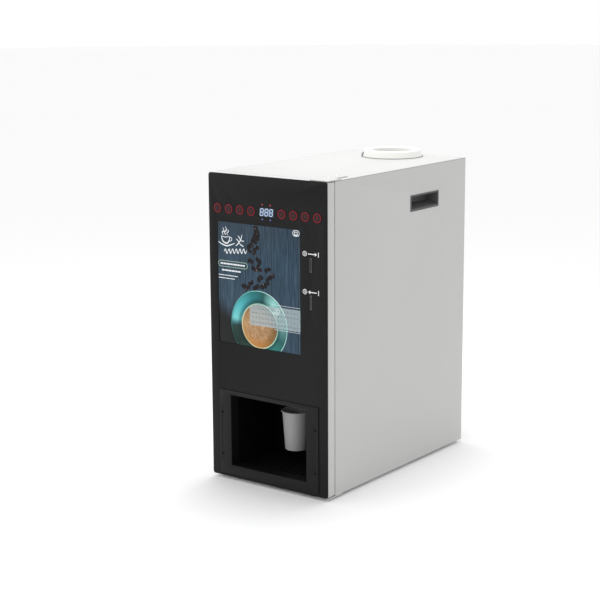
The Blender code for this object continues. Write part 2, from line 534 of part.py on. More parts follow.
piece("whipper_motor", ZINC, rod((0, WHIP_MOTOR_Y, WHIP_Z), 20.0, 52, "y"),
      add=[block((-26, 26), (WHIP_MOTOR_Y, WHIP_MOTOR_Y + 3), (WHIP_Z - 26, WHIP_Z + 26)),
           block((-26, 26), (WHIP_MOTOR_Y, CHASSIS_Y - GAP), (WHIP_Z - 29, WHIP_Z - 26)),
           block((-26, 26), (CHASSIS_Y - GAP - 3, CHASSIS_Y - GAP), (WHIP_Z - 44, WHIP_Z - 26))],
      cut=[rod((0, WHIP_MOTOR_Y - 5, WHIP_Z), 4.0, 13, "y", sides=16)])

# --- Cup magazine: an upright tube of nested cups over the bay, let down by a turning ring -----------

MAGAZINE_HIGH = 640.0
RING_LOW = BAY_HIGH + 4.0
# The tube stands on a box that is open at the front and back: two plates and a wall at each side.
BASE_X, BASE_Y, BASE_WALL = 56.0, (50.0, 156.0), 6.0
PLATES = ((RING_LOW, RING_LOW + 4), (RING_LOW + 16, RING_LOW + 21))  # z of the lower and upper plate
plates = [block((-BASE_X, BASE_X), BASE_Y, z) for z in PLATES]
walls = [block(x, BASE_Y, (RING_LOW, RING_LOW + 21)) for x in ((-BASE_X, BASE_WALL - BASE_X),
                                                               (BASE_X - BASE_WALL, BASE_X))]
piece("cup_magazine", CLEAR,
      rod((CUP_X, CUP_Y, RING_LOW + 16), TUBE_RADIUS, MAGAZINE_HIGH - RING_LOW - 16, sides=32),
      add=plates + walls, cut=[rod((CUP_X, CUP_Y, RING_LOW - 5), TUBE_RADIUS - 2, MAGAZINE_HIGH, sides=32)])
TEETH, TIP, ROOT = 30, 46.0, 43.0
gear_outline = []
for step in range(TEETH * 2):
    angle = 2 * math.pi * step / (TEETH * 2)
    reach = TIP if step % 2 == 0 else ROOT
    gear_outline.append((CUP_X + reach * math.cos(angle), CUP_Y + reach * math.sin(angle)))
piece("cup_drop_ring", WHITE_PLASTIC, prism(gear_outline, "xy", RING_LOW + 5, RING_LOW + 15),
      cut=[rod((CUP_X, CUP_Y, RING_LOW), 38.5, 30, sides=32)], origin=place(CUP_X, CUP_Y, RING_LOW))

# --- Water, power and control ----------------------------------------------------------------------

# The boiler is a drum with a stepped lid and two pipe stubs, on four legs.
BOILER_Y, BOILER_RADIUS, BOILER_Z, BOILER_WALL = 470.0, 62.0, (250.0, 400.0), 1.5
LEG, STUB_X, STUB_TOP = 46.0, 30.0, 424.0
leg_places = [(x, BOILER_Y + y) for x in (-LEG, LEG) for y in (-LEG, LEG)]
stubs = [rod((x, BOILER_Y, BOILER_Z[1]), 6.0, STUB_TOP - BOILER_Z[1], sides=16) for x in (-STUB_X, STUB_X)]
stub_bores = [rod((x, BOILER_Y, BOILER_Z[1] - 10), 4.0, 50, sides=16) for x in (-STUB_X, STUB_X)]
piece("boiler", STAINLESS, rod((0, BOILER_Y, BOILER_Z[0]), BOILER_RADIUS, BOILER_Z[1] - BOILER_Z[0]),
      add=[rod((0, BOILER_Y, BOILER_Z[1] - 1), 50.0, 9)] + stubs
      + [rod((x, y, DECK), 5.0, 250, sides=12) for x, y in leg_places],
      cut=[rod((0, BOILER_Y, BOILER_Z[0] + BOILER_WALL), BOILER_RADIUS - BOILER_WALL, 146.0)] + stub_bores)
piece("water_pump", BLACK_PLASTIC, block((-34, 6), (422, 478), (DECK, 70)),
      add=[rod((0, 450, 42), 22.0, 34, "x")])
piece("power_supply", ZINC, block((88, 160), (400, 560), (DECK, 40)))
piece("control_board", CIRCUIT, block((-164, -162.4), (372, 560), (300, 560)),
      add=[block((-163, -146), (400, 440), (340, 380)), block((-163, -150), (460, 545), (480, 520)),
           block((-163, -152), (390, 410), (420, 540))])
FAN_Y = DEPTH - SHEET - GAP - 25.0
piece("fan_housing", BLACK_PLASTIC,
      block((FAN_X - 40, FAN_X + 40), (FAN_Y, FAN_Y + 25), (FAN_Z - 40, FAN_Z + 40)),
      cut=[rod((FAN_X, FAN_Y - 5, FAN_Z), 38.0, 35, "y", sides=32)])
BLADES = 7
blades = []
for number in range(BLADES):
    turn = Matrix.Rotation(2 * math.pi * number / BLADES, 4, "Y")
    blade = block((-6, 6), (FAN_Y + 6, FAN_Y + 8), (14, 36))
    twist = Matrix.Translation(place(0, FAN_Y + 12, 24)) @ Matrix.Rotation(math.radians(35), 4, "Z")
    blade.transform(twist @ Matrix.Translation(-place(0, FAN_Y + 7, 24)))
    hub = place(FAN_X, FAN_Y + 12, FAN_Z)
    blade.transform(Matrix.Translation(hub) @ turn @ Matrix.Translation(-place(0, FAN_Y + 12, 0)))
    blades.append(blade)
piece("fan_rotor", BLACK_PLASTIC, rod((FAN_X, FAN_Y + 3, FAN_Z), 16.0, 18, "y", sides=20), add=blades,
      origin=place(FAN_X, FAN_Y + 12, FAN_Z))
inlet_x, inlet_z = INLET
hole_x, hole_z = (inlet_x[0] + GAP, inlet_x[1] - GAP), (inlet_z[0] + GAP, inlet_z[1] - GAP)
socket_z = (inlet_z[0] + 4, inlet_z[1] - 4)
piece("power_inlet", BLACK_PLASTIC, block(hole_x, (DEPTH - 24, DEPTH + 1), hole_z),
      add=[block((inlet_x[0] - 3, inlet_x[1] + 3), (DEPTH + GAP, DEPTH + 2.0),
                 (inlet_z[0] - 3, inlet_z[1] + 3))],
      cut=[block((inlet_x[0] + 23, inlet_x[1] - 3), (DEPTH - 18, DEPTH + 5), socket_z),
           block((inlet_x[0] + 4, inlet_x[0] + 19), (DEPTH - 14, DEPTH + 5), socket_z)])
ROCKER_X, ROCKER_Z = inlet_x[0] + 11.5, (inlet_z[0] + inlet_z[1]) / 2
ROCKER_HALF = 8.4
rocker_outline = [(DEPTH - 8.0, ROCKER_Z - ROCKER_HALF), (DEPTH + 3.0, ROCKER_Z - ROCKER_HALF),
                  (DEPTH + 0.6, ROCKER_Z), (DEPTH + 0.6, ROCKER_Z + ROCKER_HALF), (DEPTH - 8.0, ROCKER_Z + 4)]
piece("rocker_switch", BLACK_PLASTIC, prism(rocker_outline, "yz", ROCKER_X - 6.8, ROCKER_X + 6.8),
      origin=place(ROCKER_X, DEPTH - 4, ROCKER_Z))
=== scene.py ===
"""The looks of a tabletop hot coffee vending machine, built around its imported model.

Sizes are millimetres. x runs right from the machine's middle, y back from the door's face and z up from
the floor; TO_SCENE turns such shapes into the scene's metres."""

import math
import random

import bmesh
import bpy
from mathutils import Matrix, Vector


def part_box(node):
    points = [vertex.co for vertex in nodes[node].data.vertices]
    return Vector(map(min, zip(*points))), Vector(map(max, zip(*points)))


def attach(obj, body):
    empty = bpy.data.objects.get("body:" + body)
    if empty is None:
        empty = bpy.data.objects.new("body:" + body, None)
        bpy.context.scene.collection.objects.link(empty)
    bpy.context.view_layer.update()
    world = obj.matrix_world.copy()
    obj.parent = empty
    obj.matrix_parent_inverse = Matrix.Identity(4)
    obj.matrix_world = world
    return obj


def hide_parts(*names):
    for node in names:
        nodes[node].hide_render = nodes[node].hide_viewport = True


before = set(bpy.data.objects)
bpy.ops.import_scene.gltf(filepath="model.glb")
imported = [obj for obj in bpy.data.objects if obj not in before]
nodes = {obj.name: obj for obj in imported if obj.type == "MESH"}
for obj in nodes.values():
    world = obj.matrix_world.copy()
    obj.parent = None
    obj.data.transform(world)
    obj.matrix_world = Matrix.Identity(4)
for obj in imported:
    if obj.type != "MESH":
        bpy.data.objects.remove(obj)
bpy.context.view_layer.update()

# --- Camera, floor and light ------------------------------------------------------------------------
# A studio table-top set: a wide pale floor, a large soft box overhead, a weaker one before the door
# and a pale surround. The camera stands to the machine's right, a little above its top.

MM = 0.001
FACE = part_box("door_fascia")[0].y  # the door's face
TO_SCENE = Matrix.Translation((0, FACE, 0)) @ Matrix.Scale(MM, 4)


def linear(colour):
    """An sRGB hex colour as the linear values that a shader takes."""
    channels = [int(colour[i:i + 2], 16) / 255 for i in (1, 3, 5)]
    return [c / 12.92 if c <= 0.04045 else ((c + 0.055) / 1.055) ** 2.4 for c in channels] + [1.0]


def add(tree, kind, inputs=None, **settings):
    """Adds a node. inputs gives sockets, by name or number, a value or another node's output."""
    made = tree.nodes.new(kind)
    for name, value in settings.items():
        setattr(made, name, value)
    for socket, value in (inputs or {}).items():
        if isinstance(value, bpy.types.NodeSocket):
            tree.links.new(value, made.inputs[socket])
        else:
            made.inputs[socket].default_value = value
    return made


def new_material(name, colour, roughness, metallic=0.0, **sockets):
    """A material, its node tree and its shader, with constants set on the shader's own sockets."""
    made = bpy.data.materials.new(name)
    made.use_nodes = True
    shader = made.node_tree.nodes["Principled BSDF"]
    shader.inputs["Base Color"].default_value = linear(colour)
    shader.inputs["Roughness"].default_value = roughness
    shader.inputs["Metallic"].default_value = metallic
    for socket, value in sockets.items():
        shader.inputs[socket.replace("_", " ")].default_value = value
    return made, made.node_tree, shader


def finish(name, colour, roughness, grain, depth, metallic=0.0, spread=0.05, tint=None, stretch=(1, 1, 1),
           **sockets):
    """A solid finish with a surface relief grain mm across and depth mm high. Its roughness drifts by
    spread and its colour towards tint over a hand's breadth, and stretch draws the grain out."""
    made, tree, shader = new_material(name, colour, roughness, metallic, **sockets)
    place = add(tree, "ShaderNodeTexCoord")
    drawn = add(tree, "ShaderNodeMapping", {"Vector": place.outputs["Object"], "Scale": stretch})
    relief = add(tree, "ShaderNodeTexNoise",
                 {"Vector": drawn.outputs[0], "Scale": 1000 / grain, "Detail": 2.0})
    bump = add(tree, "ShaderNodeBump",
               {"Height": relief.outputs[0], "Distance": depth * MM, "Strength": 1.0})
    tree.links.new(bump.outputs[0], shader.inputs["Normal"])
    cloud = add(tree, "ShaderNodeTexNoise",
                {"Vector": place.outputs["Object"], "Scale": 1000 / 70, "Detail": 3.0})
    drift = add(tree, "ShaderNodeMapRange", {"Value": cloud.outputs[0], "From Min": 0.3, "From Max": 0.7,
                                             "To Min": roughness - spread, "To Max": roughness + spread})
    tree.links.new(drift.outputs[0], shader.inputs["Roughness"])
    if tint:
        blend = add(tree, "ShaderNodeMix", {0: cloud.outputs[0], 6: linear(colour), 7: linear(tint)},
                    data_type="RGBA")
        tree.links.new(blend.outputs[2], shader.inputs["Base Color"])
    return made


def as_object(name, shape, *finishes):
    """A bmesh in metres as an object at the origin with its finishes."""
    mesh = bpy.data.meshes.new(name)
    shape.to_mesh(mesh)
    shape.free()
    made = bpy.data.objects.new(name, mesh)
    for coat in finishes:
        mesh.materials.append(coat)
    bpy.context.scene.collection.objects.link(made)
    return made


FLOOR_RADIUS = 25.0
floor_shape = bmesh.new()
bmesh.ops.create_circle(floor_shape, cap_ends=True, segments=96, radius=FLOOR_RADIUS)
pale_floor, _, _ = new_material("matt_pale_floor", "#fafafa", 0.8)
as_object("floor", floor_shape, pale_floor)


def soft_box(name, place, aim, size, power):
    lamp = bpy.data.lights.new(name, "AREA")
    lamp.shape = "DISK"
    lamp.size = size
    lamp.energy = power
    made = bpy.data.objects.new(name, lamp)
    made.location = place
    made.rotation_euler = (Vector(aim) - Vector(place)).to_track_quat("-Z", "Y").to_euler()
    bpy.context.scene.collection.objects.link(made)


soft_box("overhead", (-0.1, 0.1, 1.95), (0, 0, 0.7), 0.9, 15)
soft_box("front", (-2.6, -3.4, 1.8), (0, 0, 0.4), 2.0, 10)

surround = bpy.data.worlds.new("pale_surround")
surround.use_nodes = True
background = surround.node_tree.nodes["Background"]
background.inputs["Color"].default_value = (1, 1, 1, 1)
background.inputs["Strength"].default_value = 1.0
bpy.context.scene.world = surround
bpy.context.scene.view_settings.view_transform = "Standard"

CAMERA_PLACE = (2.13711859, FACE - 2.71797855, 1.17258048)
AZIMUTH, ELEVATION, ROLL = (math.radians(angle) for angle in (36.927756, 11.747514, -0.340396))
lens = bpy.data.cameras.new("camera")
lens.sensor_width = 36.0
lens.lens = 92.262
camera = bpy.data.objects.new("camera", lens)
bpy.context.scene.collection.objects.link(camera)
camera.matrix_world = (Matrix.Translation(CAMERA_PLACE) @ Matrix.Rotation(AZIMUTH, 4, "Z")
                       @ Matrix.Rotation(math.pi / 2 - ELEVATION, 4, "X") @ Matrix.Rotation(ROLL, 4, "Z"))
bpy.context.scene.camera = camera

# --- Cabinet ----------------------------------------------------------------------------------------
# One mild-steel sheet bent into sides and floor, a folded cover and a screwed back, 1.5 mm thick and
# powder coated pale grey. The bends are tight, and the coat has a fine orange peel.

powder_coat = finish("powder_coat_pale_grey", "#b9b9b8", 0.42, grain=1.6, depth=0.012, spread=0.03)


def shown(made, body, *cad_nodes, slot=None):
    """Makes a finished piece ride on its body and stand for CAD nodes."""
    if cad_nodes:
        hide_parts(*cad_nodes)
    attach(made, body)
    return made


def smooth(made, angle=32):
    made.data.shade_smooth()
    made.data.set_sharp_from_angle(angle=math.radians(angle))
    return made


def evaluated(made):
    """An object's evaluated mesh, as its own mesh with no modifier left."""
    graph = bpy.context.evaluated_depsgraph_get()
    mesh = bpy.data.meshes.new_from_object(made.evaluated_get(graph))
    coats = [coat for coat in made.data.materials]
    made.modifiers.clear()
    made.data = mesh
    mesh.materials.clear()
    for coat in coats:
        mesh.materials.append(coat)
    return made


def eased(made, radius, segments=2, angle=32):
    """Rounds an object's edges by radius mm."""
    bevel = made.modifiers.new("eased edges", "BEVEL")
    bevel.width = radius * MM
    bevel.segments = segments
    bevel.limit_method = "ANGLE"
    bevel.angle_limit = math.radians(angle)
    return smooth(evaluated(made), angle)


def node_shape(node):
    """A CAD node's shape with its points merged and its flat faces made whole."""
    shape = bmesh.new()
    shape.from_mesh(nodes[node].data)
    bmesh.ops.remove_doubles(shape, verts=shape.verts, dist=1e-6)
    bmesh.ops.dissolve_limit(shape, angle_limit=math.radians(1), verts=shape.verts, edges=shape.edges)
    for face in shape.faces:
        face.material_index = 0
    return shape


def refined(node, name, body, coat, radius, slot, segments=2):
    """A CAD node as a finished piece of its body, with rounded edges."""
    made = eased(as_object(name, node_shape(node), coat), radius, segments)
    return shown(made, body, node, slot=slot)


refined("cabinet_wrap", "cabinet_wrap_painted", "cabinet", powder_coat, 0.6, "powder_coat_white")
refined("top_cover", "top_cover_painted", "cabinet", powder_coat, 0.6, "powder_coat_white")
refined("back_panel", "back_panel_painted", "cabinet", powder_coat, 0.3, "powder_coat_white")

# --- Door pan ---------------------------------------------------------------------------------------
# The door's folded steel tray, powder coated like the cabinet, with the catch for the lock welded in.

refined("door_pan", "door_pan_painted", "door", powder_coat, 0.5, "powder_coat_white")

# --- Door face --------------------------------------------------------------------------------------
# A 3 mm black acrylic front, satin, with a small polished round on its outer edge.

satin_black = finish("satin_black_acrylic", "#0f0f10", 0.38, grain=0.9, depth=0.003, spread=0.03,
                     Specular_IOR_Level=0.18)
refined("door_fascia", "door_face", "door", satin_black, 0.8, "black_panel", 3)


# --- Screws -----------------------------------------------------------------------------------------
# Steel cross-head screws. Each head is a low dome with a pressed cross, set by Geometry Nodes at the
# vertices of a small mesh and turned to a different angle each.

def tree_with(name, **inputs):
    """A geometry tree with a Geometry input, the named inputs and one Geometry output."""
    made = bpy.data.node_groups.new(name, "GeometryNodeTree")
    made.interface.new_socket("Geometry", in_out="INPUT", socket_type="NodeSocketGeometry")
    for label, value in inputs.items():
        kind = {int: "NodeSocketInt", float: "NodeSocketFloat", tuple: "NodeSocketVector"}[type(value)]
        made.interface.new_socket(label, in_out="INPUT", socket_type=kind).default_value = value
    made.interface.new_socket("Geometry", in_out="OUTPUT", socket_type="NodeSocketGeometry")
    return made, add(made, "NodeGroupInput").outputs


def end_tree(tree, given, shape, coat, **turns):
    """Sets a copy of the shape at each given point, realises them all and sets their material."""
    points = add(tree, "GeometryNodeMeshToPoints", {0: given["Geometry"]})
    copies = add(tree, "GeometryNodeInstanceOnPoints",
                 {"Points": points.outputs[0], "Instance": shape.outputs[0], **turns})
    real = add(tree, "GeometryNodeRealizeInstances", {0: copies.outputs[0]})
    coated = add(tree, "GeometryNodeSetMaterial", {"Geometry": real.outputs[0], "Material": coat})
    add(tree, "NodeGroupOutput", {0: coated.outputs[0]})
    return tree


def grown(name, tree, coat, points, **values):
    """The mesh that a tree grows from loose points in mm, with the tree's named inputs set."""
    seed = bmesh.new()
    for point in points:
        seed.verts.new(TO_SCENE @ Vector(point))
    made = as_object(name, seed, coat)
    modifier = made.modifiers.new("geometry", "NODES")
    modifier.node_group = tree
    for item in tree.interface.items_tree:
        if item.in_out == "INPUT" and item.name in values:
            modifier[item.identifier] = values[item.name]
    return evaluated(made)


def vector(tree, x=0.0, y=0.0, z=0.0):
    return add(tree, "ShaderNodeCombineXYZ", {0: x, 1: y, 2: z}).outputs[0]


def calc(tree, operation, first, second=0.0):
    return add(tree, "ShaderNodeMath", {0: first, 1: second}, operation=operation).outputs[0]


def times(tree, value, factor):
    return calc(tree, "MULTIPLY", value, factor)


def screw_tree(coat):
    """Domed heads of Radius and Height that face Toward, each with a cross cut in it."""
    tree, given = tree_with(f"screw_heads_{coat.name}", Radius=2.8 * MM, Height=1.2 * MM,
                            Toward=(0.0, 0.0, 1.0))
    head = add(tree, "GeometryNodeMeshUVSphere", {"Segments": 20, "Rings": 10, "Radius": 1.0})
    low = vector(tree, given["Radius"], given["Radius"], given["Height"])
    dome = add(tree, "GeometryNodeTransform", {"Geometry": head.outputs[0], "Scale": low})
    arm_long, arm_wide = times(tree, given["Radius"], 1.15), times(tree, given["Radius"], 0.26)
    cut = add(tree, "GeometryNodeMeshBoolean", {0: dome.outputs[0]}, operation="DIFFERENCE", solver="EXACT")
    for x, y in ((arm_long, arm_wide), (arm_wide, arm_long)):
        bar = add(tree, "GeometryNodeMeshCube", {"Size": vector(tree, x, y, given["Height"])})
        raised = add(tree, "GeometryNodeTransform", {"Geometry": bar.outputs[0],
                                                     "Translation": vector(tree, z=given["Height"])})
        tree.links.new(raised.outputs[0], cut.inputs[1])
    spin = add(tree, "FunctionNodeRandomValue", {2: 0.0, 3: math.pi, "Seed": 3}, data_type="FLOAT")
    turned_head = add(tree, "FunctionNodeEulerToRotation", {0: vector(tree, z=spin.outputs[1])})
    facing = add(tree, "FunctionNodeAlignRotationToVector", {"Vector": given["Toward"]}, axis="Z")
    both = add(tree, "FunctionNodeRotateRotation", {0: facing.outputs[0], 1: turned_head.outputs[0]},
               rotation_space="LOCAL")
    return end_tree(tree, given, cut, coat, Rotation=both.outputs[0])


black_screw = finish("blackened_steel", "#060606", 0.55, grain=0.5, depth=0.003, metallic=0.9)
zinc_screw = finish("bright_zinc_plate", "#c9cbcd", 0.3, grain=0.6, depth=0.003, metallic=1.0)
BLACK_SCREWS, ZINC_SCREWS = screw_tree(black_screw), screw_tree(zinc_screw)


def screws(name, body, tree, toward, points, radius=2.8, height=1.2):
    coat = black_screw if tree is BLACK_SCREWS else zinc_screw
    made = grown(name, tree, coat, points, Radius=radius * MM, Height=height * MM, Toward=toward)
    return shown(smooth(made, 25), body)


FRONT, BACK, UP, RIGHT = (0, -1, 0), (0, 1, 0), (0, 0, 1), (1, 0, 0)
screws("back_panel_screws", "cabinet", ZINC_SCREWS, BACK,
       [(side * 160, 590, z) for side in (-1, 1) for z in (26, 190, 370, 550, 720)]
       + [(0, 590, 720), (0, 590, 24)])


# --- Hinge plates -----------------------------------------------------------------------------------
# 2 mm steel plates, powder coated with the cabinet. The top one lies on the cover under two low
# screws and carries the hinge pin.

refined("hinge_top", "hinge_top_painted", "cabinet", powder_coat, 0.5, "powder_coat_white")
refined("hinge_bottom", "hinge_bottom_painted", "cabinet", powder_coat, 0.5, "powder_coat_white")
screws("hinge_top_screws", "cabinet", ZINC_SCREWS, UP, [(131, 60, 740.2), (128, 96, 740.2)], 4.2, 1.6)


# --- Shapes for the printed and moulded details -------------------------------------------------------
# Closed shapes in millimetres, joined and then placed in the scene.

def block(x, y, z):
    """A box between the pairs x, y and z."""
    shape = bmesh.new()
    bmesh.ops.create_cube(shape, size=1.0)
    for vert in shape.verts:
        vert.co = Vector([(pair[0] + pair[1]) / 2 + c * (pair[1] - pair[0]) for c,
                          pair in zip(vert.co, (x, y, z))])
    return shape


AXIS_TURN = {"z": Matrix.Identity(4), "y": Matrix.Rotation(-math.pi / 2, 4, "X"),
             "x": Matrix.Rotation(math.pi / 2, 4, "Y")}


def rod(start, radius, length, axis="z", end_radius=None, sides=32):
    """A cylinder or cone from start along axis."""
    shape = bmesh.new()
    bmesh.ops.create_cone(shape, cap_ends=True, segments=sides, radius1=radius,
                          radius2=radius if end_radius is None else end_radius, depth=length)
    shape.transform(Matrix.Translation(start) @ AXIS_TURN[axis] @ Matrix.Translation((0, 0, length / 2)))
    return shape


def turned(profile, centre, axis="z", sides=64):
    """A closed profile of (radius, height) points turned about the line through centre along axis."""
    shape = bmesh.new()
    rings = [[shape.verts.new((r * math.cos(a), r * math.sin(a), z)) for r, z in profile]
             for a in [2 * math.pi * step / sides for step in range(sides)]]
    for a, b in zip(rings, rings[1:] + rings[:1]):
        for i in range(len(profile)):
            j = (i + 1) % len(profile)
            if profile[i][0] or profile[j][0]:
                shape.faces.new((a[i], a[j], b[j], b[i]))
    bmesh.ops.remove_doubles(shape, verts=shape.verts, dist=1e-4)
    bmesh.ops.recalc_face_normals(shape, faces=shape.faces)
    shape.transform(Matrix.Translation(centre) @ AXIS_TURN[axis])
    return shape


def prism(outline, axis, low, high):
    """An outline across an axis, extruded from low to high: (y, z) for x, (x, z) for y, (x, y) for z."""
    def corner(a, b, c):
        return {"x": (c, a, b), "y": (a, c, b), "z": (a, b, c)}[axis]

    shape = bmesh.new()
    face = shape.faces.new([shape.verts.new(corner(a, b, low)) for a, b in outline])
    extruded = bmesh.ops.extrude_face_region(shape, geom=[face])["geom"]
    shift = Vector(corner(0, 0, high)) - Vector(corner(0, 0, low))
    bmesh.ops.translate(shape, vec=shift, verts=[v for v in extruded if isinstance(v, bmesh.types.BMVert)])
    bmesh.ops.recalc_face_normals(shape, faces=shape.faces)
    return shape


def through(points, steps=8):
    """More points on a smooth line through these."""
    points = [Vector(p) for p in points]
    ends = [2 * points[0] - points[1]] + points + [2 * points[-1] - points[-2]]
    line = []
    for a, b, c, d in zip(ends, ends[1:], ends[2:], ends[3:]):
        for t in [step / steps for step in range(steps)]:
            line.append(0.5 * (2 * b + (c - a) * t + (2 * a - 5 * b + 4 * c - d) * t * t
                               + (3 * b - a - 3 * c + d) * t ** 3))
    return line + [points[-1]]


def hose(points, radius, sides=12, steps=8):
    """A round bar along a smooth line through points."""
    line = through(points, steps)
    shape = bmesh.new()
    side = (line[1] - line[0]).orthogonal().normalized()
    rings = []
    for i, point in enumerate(line):
        ahead = (line[min(i + 1, len(line) - 1)] - line[max(i - 1, 0)]).normalized()
        side = (side - ahead * side.dot(ahead)).normalized()
        up = ahead.cross(side)
        rings.append([shape.verts.new(point + radius * (math.cos(a) * side + math.sin(a) * up))
                      for a in [2 * math.pi * step / sides for step in range(sides)]])
    for a, b in zip(rings, rings[1:]):
        for i in range(sides):
            shape.faces.new((a[i], a[(i + 1) % sides], b[(i + 1) % sides], b[i]))
    shape.faces.new(rings[0])
    shape.faces.new(rings[-1])
    bmesh.ops.recalc_face_normals(shape, faces=shape.faces)
    return shape


def circle(x, z, radius, start=0.0, end=360.0, steps=72):
    """Points on an arc from start to end degrees; a whole turn leaves its last point out."""
    whole = end - start >= 360
    return [(x + radius * math.cos(math.radians(a)), z + radius * math.sin(math.radians(a)))
            for a in [start + (end - start) * step / steps for step in range(steps + (0 if whole else 1))]]


def ring(centre, inner, outer, axis, low, high, sides=72):
    """A flat round band between two radii."""
    return turned([(inner, low), (outer, low), (outer, high), (inner, high)], centre, axis, sides)


def made_of(name, *parts):
    """An object from (finish, shape, shape, ...) groups in mm."""
    whole = bmesh.new()
    for index, (_, *shapes) in enumerate(parts):
        for shape in shapes:
            for face in shape.faces:
                face.material_index = index
            mesh = bpy.data.meshes.new("part")
            shape.to_mesh(mesh)
            shape.free()
            whole.from_mesh(mesh)
            bpy.data.meshes.remove(mesh)
    whole.transform(TO_SCENE)
    return as_object(name, whole, *[coat for coat, *_ in parts])


# --- Lower plate ------------------------------------------------------------------------------------
# 1.5 mm steel, powder coated black, with the moulded bay surround on its back. Four blackened screws
# sit in countersinks, so nothing stands proud of the plate.

black_coat = finish("black_powder_coat", "#0e0e0f", 0.46, grain=1.4, depth=0.012, spread=0.03,
                    Specular_IOR_Level=0.2)
PLATE_FACE, HEAD_DEPTH = -1.8, 0.9
PLATE_SCREWS = [(side * 136.5, z) for side in (-1, 1) for z in (63.6, 166.2)]
countersinks = made_of("plate_countersinks", (black_coat, *[
    turned([(0, HEAD_DEPTH), (2.7, HEAD_DEPTH), (3.7, -0.2), (0, -0.2)], (x, PLATE_FACE, z), "y", 32)
    for x, z in PLATE_SCREWS]))
plate = as_object("lower_plate_coated", node_shape("lower_plate"), black_coat)
sunk = plate.modifiers.new("countersinks", "BOOLEAN")
sunk.object, sunk.operation, sunk.solver = countersinks, "DIFFERENCE", "EXACT"
shown(eased(plate, 0.3), "door", "lower_plate", slot="black_panel")
bpy.data.objects.remove(countersinks)
screws("lower_plate_screws", "door", BLACK_SCREWS, FRONT,
       [(x, PLATE_FACE + HEAD_DEPTH, z) for x, z in PLATE_SCREWS],
       2.6, 0.8)

# --- Poster -----------------------------------------------------------------------------------------
# A 2 mm acrylic panel behind the door's window with a printed film on it: blue-grey boards that fade
# to black at the lower left, coffee beans, and a teal cup of coffee on its saucer seen from above.
# The print is slightly lit from behind, and each of its figures is a thin film of its own.

def ramp(tree, value, *stops):
    """A colour ramp over (position, hex) stops."""
    made = add(tree, "ShaderNodeValToRGB", {0: value})
    elements = made.color_ramp.elements
    for element, (position, colour) in zip(elements, stops):
        element.position, element.color = position, linear(colour)
    for position, colour in stops[2:]:
        elements.new(position).color = linear(colour)
    return made.outputs[0]


def mapped(tree, value, low, high, to_low=0.0, to_high=1.0):
    return add(tree, "ShaderNodeMapRange",
               {"Value": value, "From Min": low, "From Max": high, "To Min": to_low,
                                            "To Max": to_high}, interpolation_type="SMOOTHSTEP").outputs[0]


def mixed(tree, factor, first, second, blend="MIX"):
    made = add(tree, "ShaderNodeMix", {0: factor}, data_type="RGBA", blend_type=blend)
    for socket, colour in ((6, first), (7, second)):
        if isinstance(colour, str):
            made.inputs[socket].default_value = linear(colour)
        else:
            tree.links.new(colour, made.inputs[socket])
    return made.outputs[2]


GLOW = 0.5  # how much of the print's brightness comes from behind it


def printed(name, colour="#ffffff"):
    """A printed film, and what colours both its surface and its glow."""
    made, tree, shader = new_material(name, colour, 0.3, Emission_Strength=GLOW, Specular_IOR_Level=0.15)
    shader.inputs["Emission Color"].default_value = linear(colour)

    def inked(output):
        tree.links.new(output, shader.inputs["Emission Color"])
        dimmed = mixed(tree, 1.0 - GLOW, "#000000", output)
        tree.links.new(dimmed, shader.inputs["Base Color"])

    dim = [c * (1 - GLOW) for c in linear(colour)[:3]] + [1.0]
    shader.inputs["Base Color"].default_value = dim
    return made, tree, inked


def axes_of(tree):
    """Object coordinates in mm: across, back and up."""
    place = add(tree, "ShaderNodeTexCoord").outputs["Object"]
    parts = add(tree, "ShaderNodeSeparateXYZ", {0: place})
    return place, [times(tree, parts.outputs[i], 1000.0) for i in range(3)]


film_boards, tree, inked = printed("printed_film_boards")
place, (across, _, up) = axes_of(tree)
grain_place = add(tree, "ShaderNodeMapping", {"Vector": place, "Scale": (1, 1, 0.035)}).outputs[0]
streaks = add(tree, "ShaderNodeTexNoise",
              {"Vector": grain_place, "Scale": 520.0, "Detail": 5.0, "Distortion": 0.6})
patches = add(tree, "ShaderNodeTexNoise", {"Vector": grain_place, "Scale": 60.0, "Detail": 2.0})
wood = ramp(tree, streaks.outputs[0], (0.36, "#243441"), (0.64, "#435b6e"), (0.5, "#354a5b"))
wood = mixed(tree, mapped(tree, patches.outputs[0], 0.3, 0.7, 0.0, 0.25), wood, "#243543")
# Board joints are dark lines 76 mm apart with a thin light edge.
BOARD, JOINT = 76.0, 12.5
along = calc(tree, "PINGPONG", calc(tree, "SUBTRACT", across, JOINT), BOARD / 2)
wood = mixed(tree, mapped(tree, along, 2.0, 4.0, 0.15, 0.0), wood, "#6d889b")
wood = mixed(tree, mapped(tree, along, 0.9, 2.0, 0.75, 0.0), wood, "#10181e")
# The light comes from the middle right; the upper edge is greyer and the lower left fades to black.
wood = mixed(tree, mapped(tree, up, 520, 625, 0.0, 0.35), wood, "#2b343c")
corner = calc(tree, "ADD", calc(tree, "MULTIPLY", across, 0.55), up)
wood = mixed(tree, mapped(tree, corner, 322, 380, 1.0, 0.0), wood, "#0b0d0e")
inked(wood)
shown(eased(as_object("poster", node_shape("poster_panel"), film_boards), 0.2), "door", "poster_panel",
      slot="poster_film")

SAUCER, SAUCER_RADIUS = (-25.0, 390.0), 82.5
CUP, CUP_RADIUS = (-22.5, 389.5), 53.5
POSTER_LOW = 337.4


def kept_above(outline, low):
    """An outline cut off along a level line."""
    cut = []
    for (x1, z1), (x2, z2) in zip(outline, outline[1:] + outline[:1]):
        if z1 >= low:
            cut.append((x1, z1))
        if (z1 >= low) != (z2 >= low):
            cut.append((x1 + (x2 - x1) * (low - z1) / (z2 - z1), low))
    return cut


def film(outline, low, high):
    return prism(kept_above(outline, POSTER_LOW), "y", low, high)


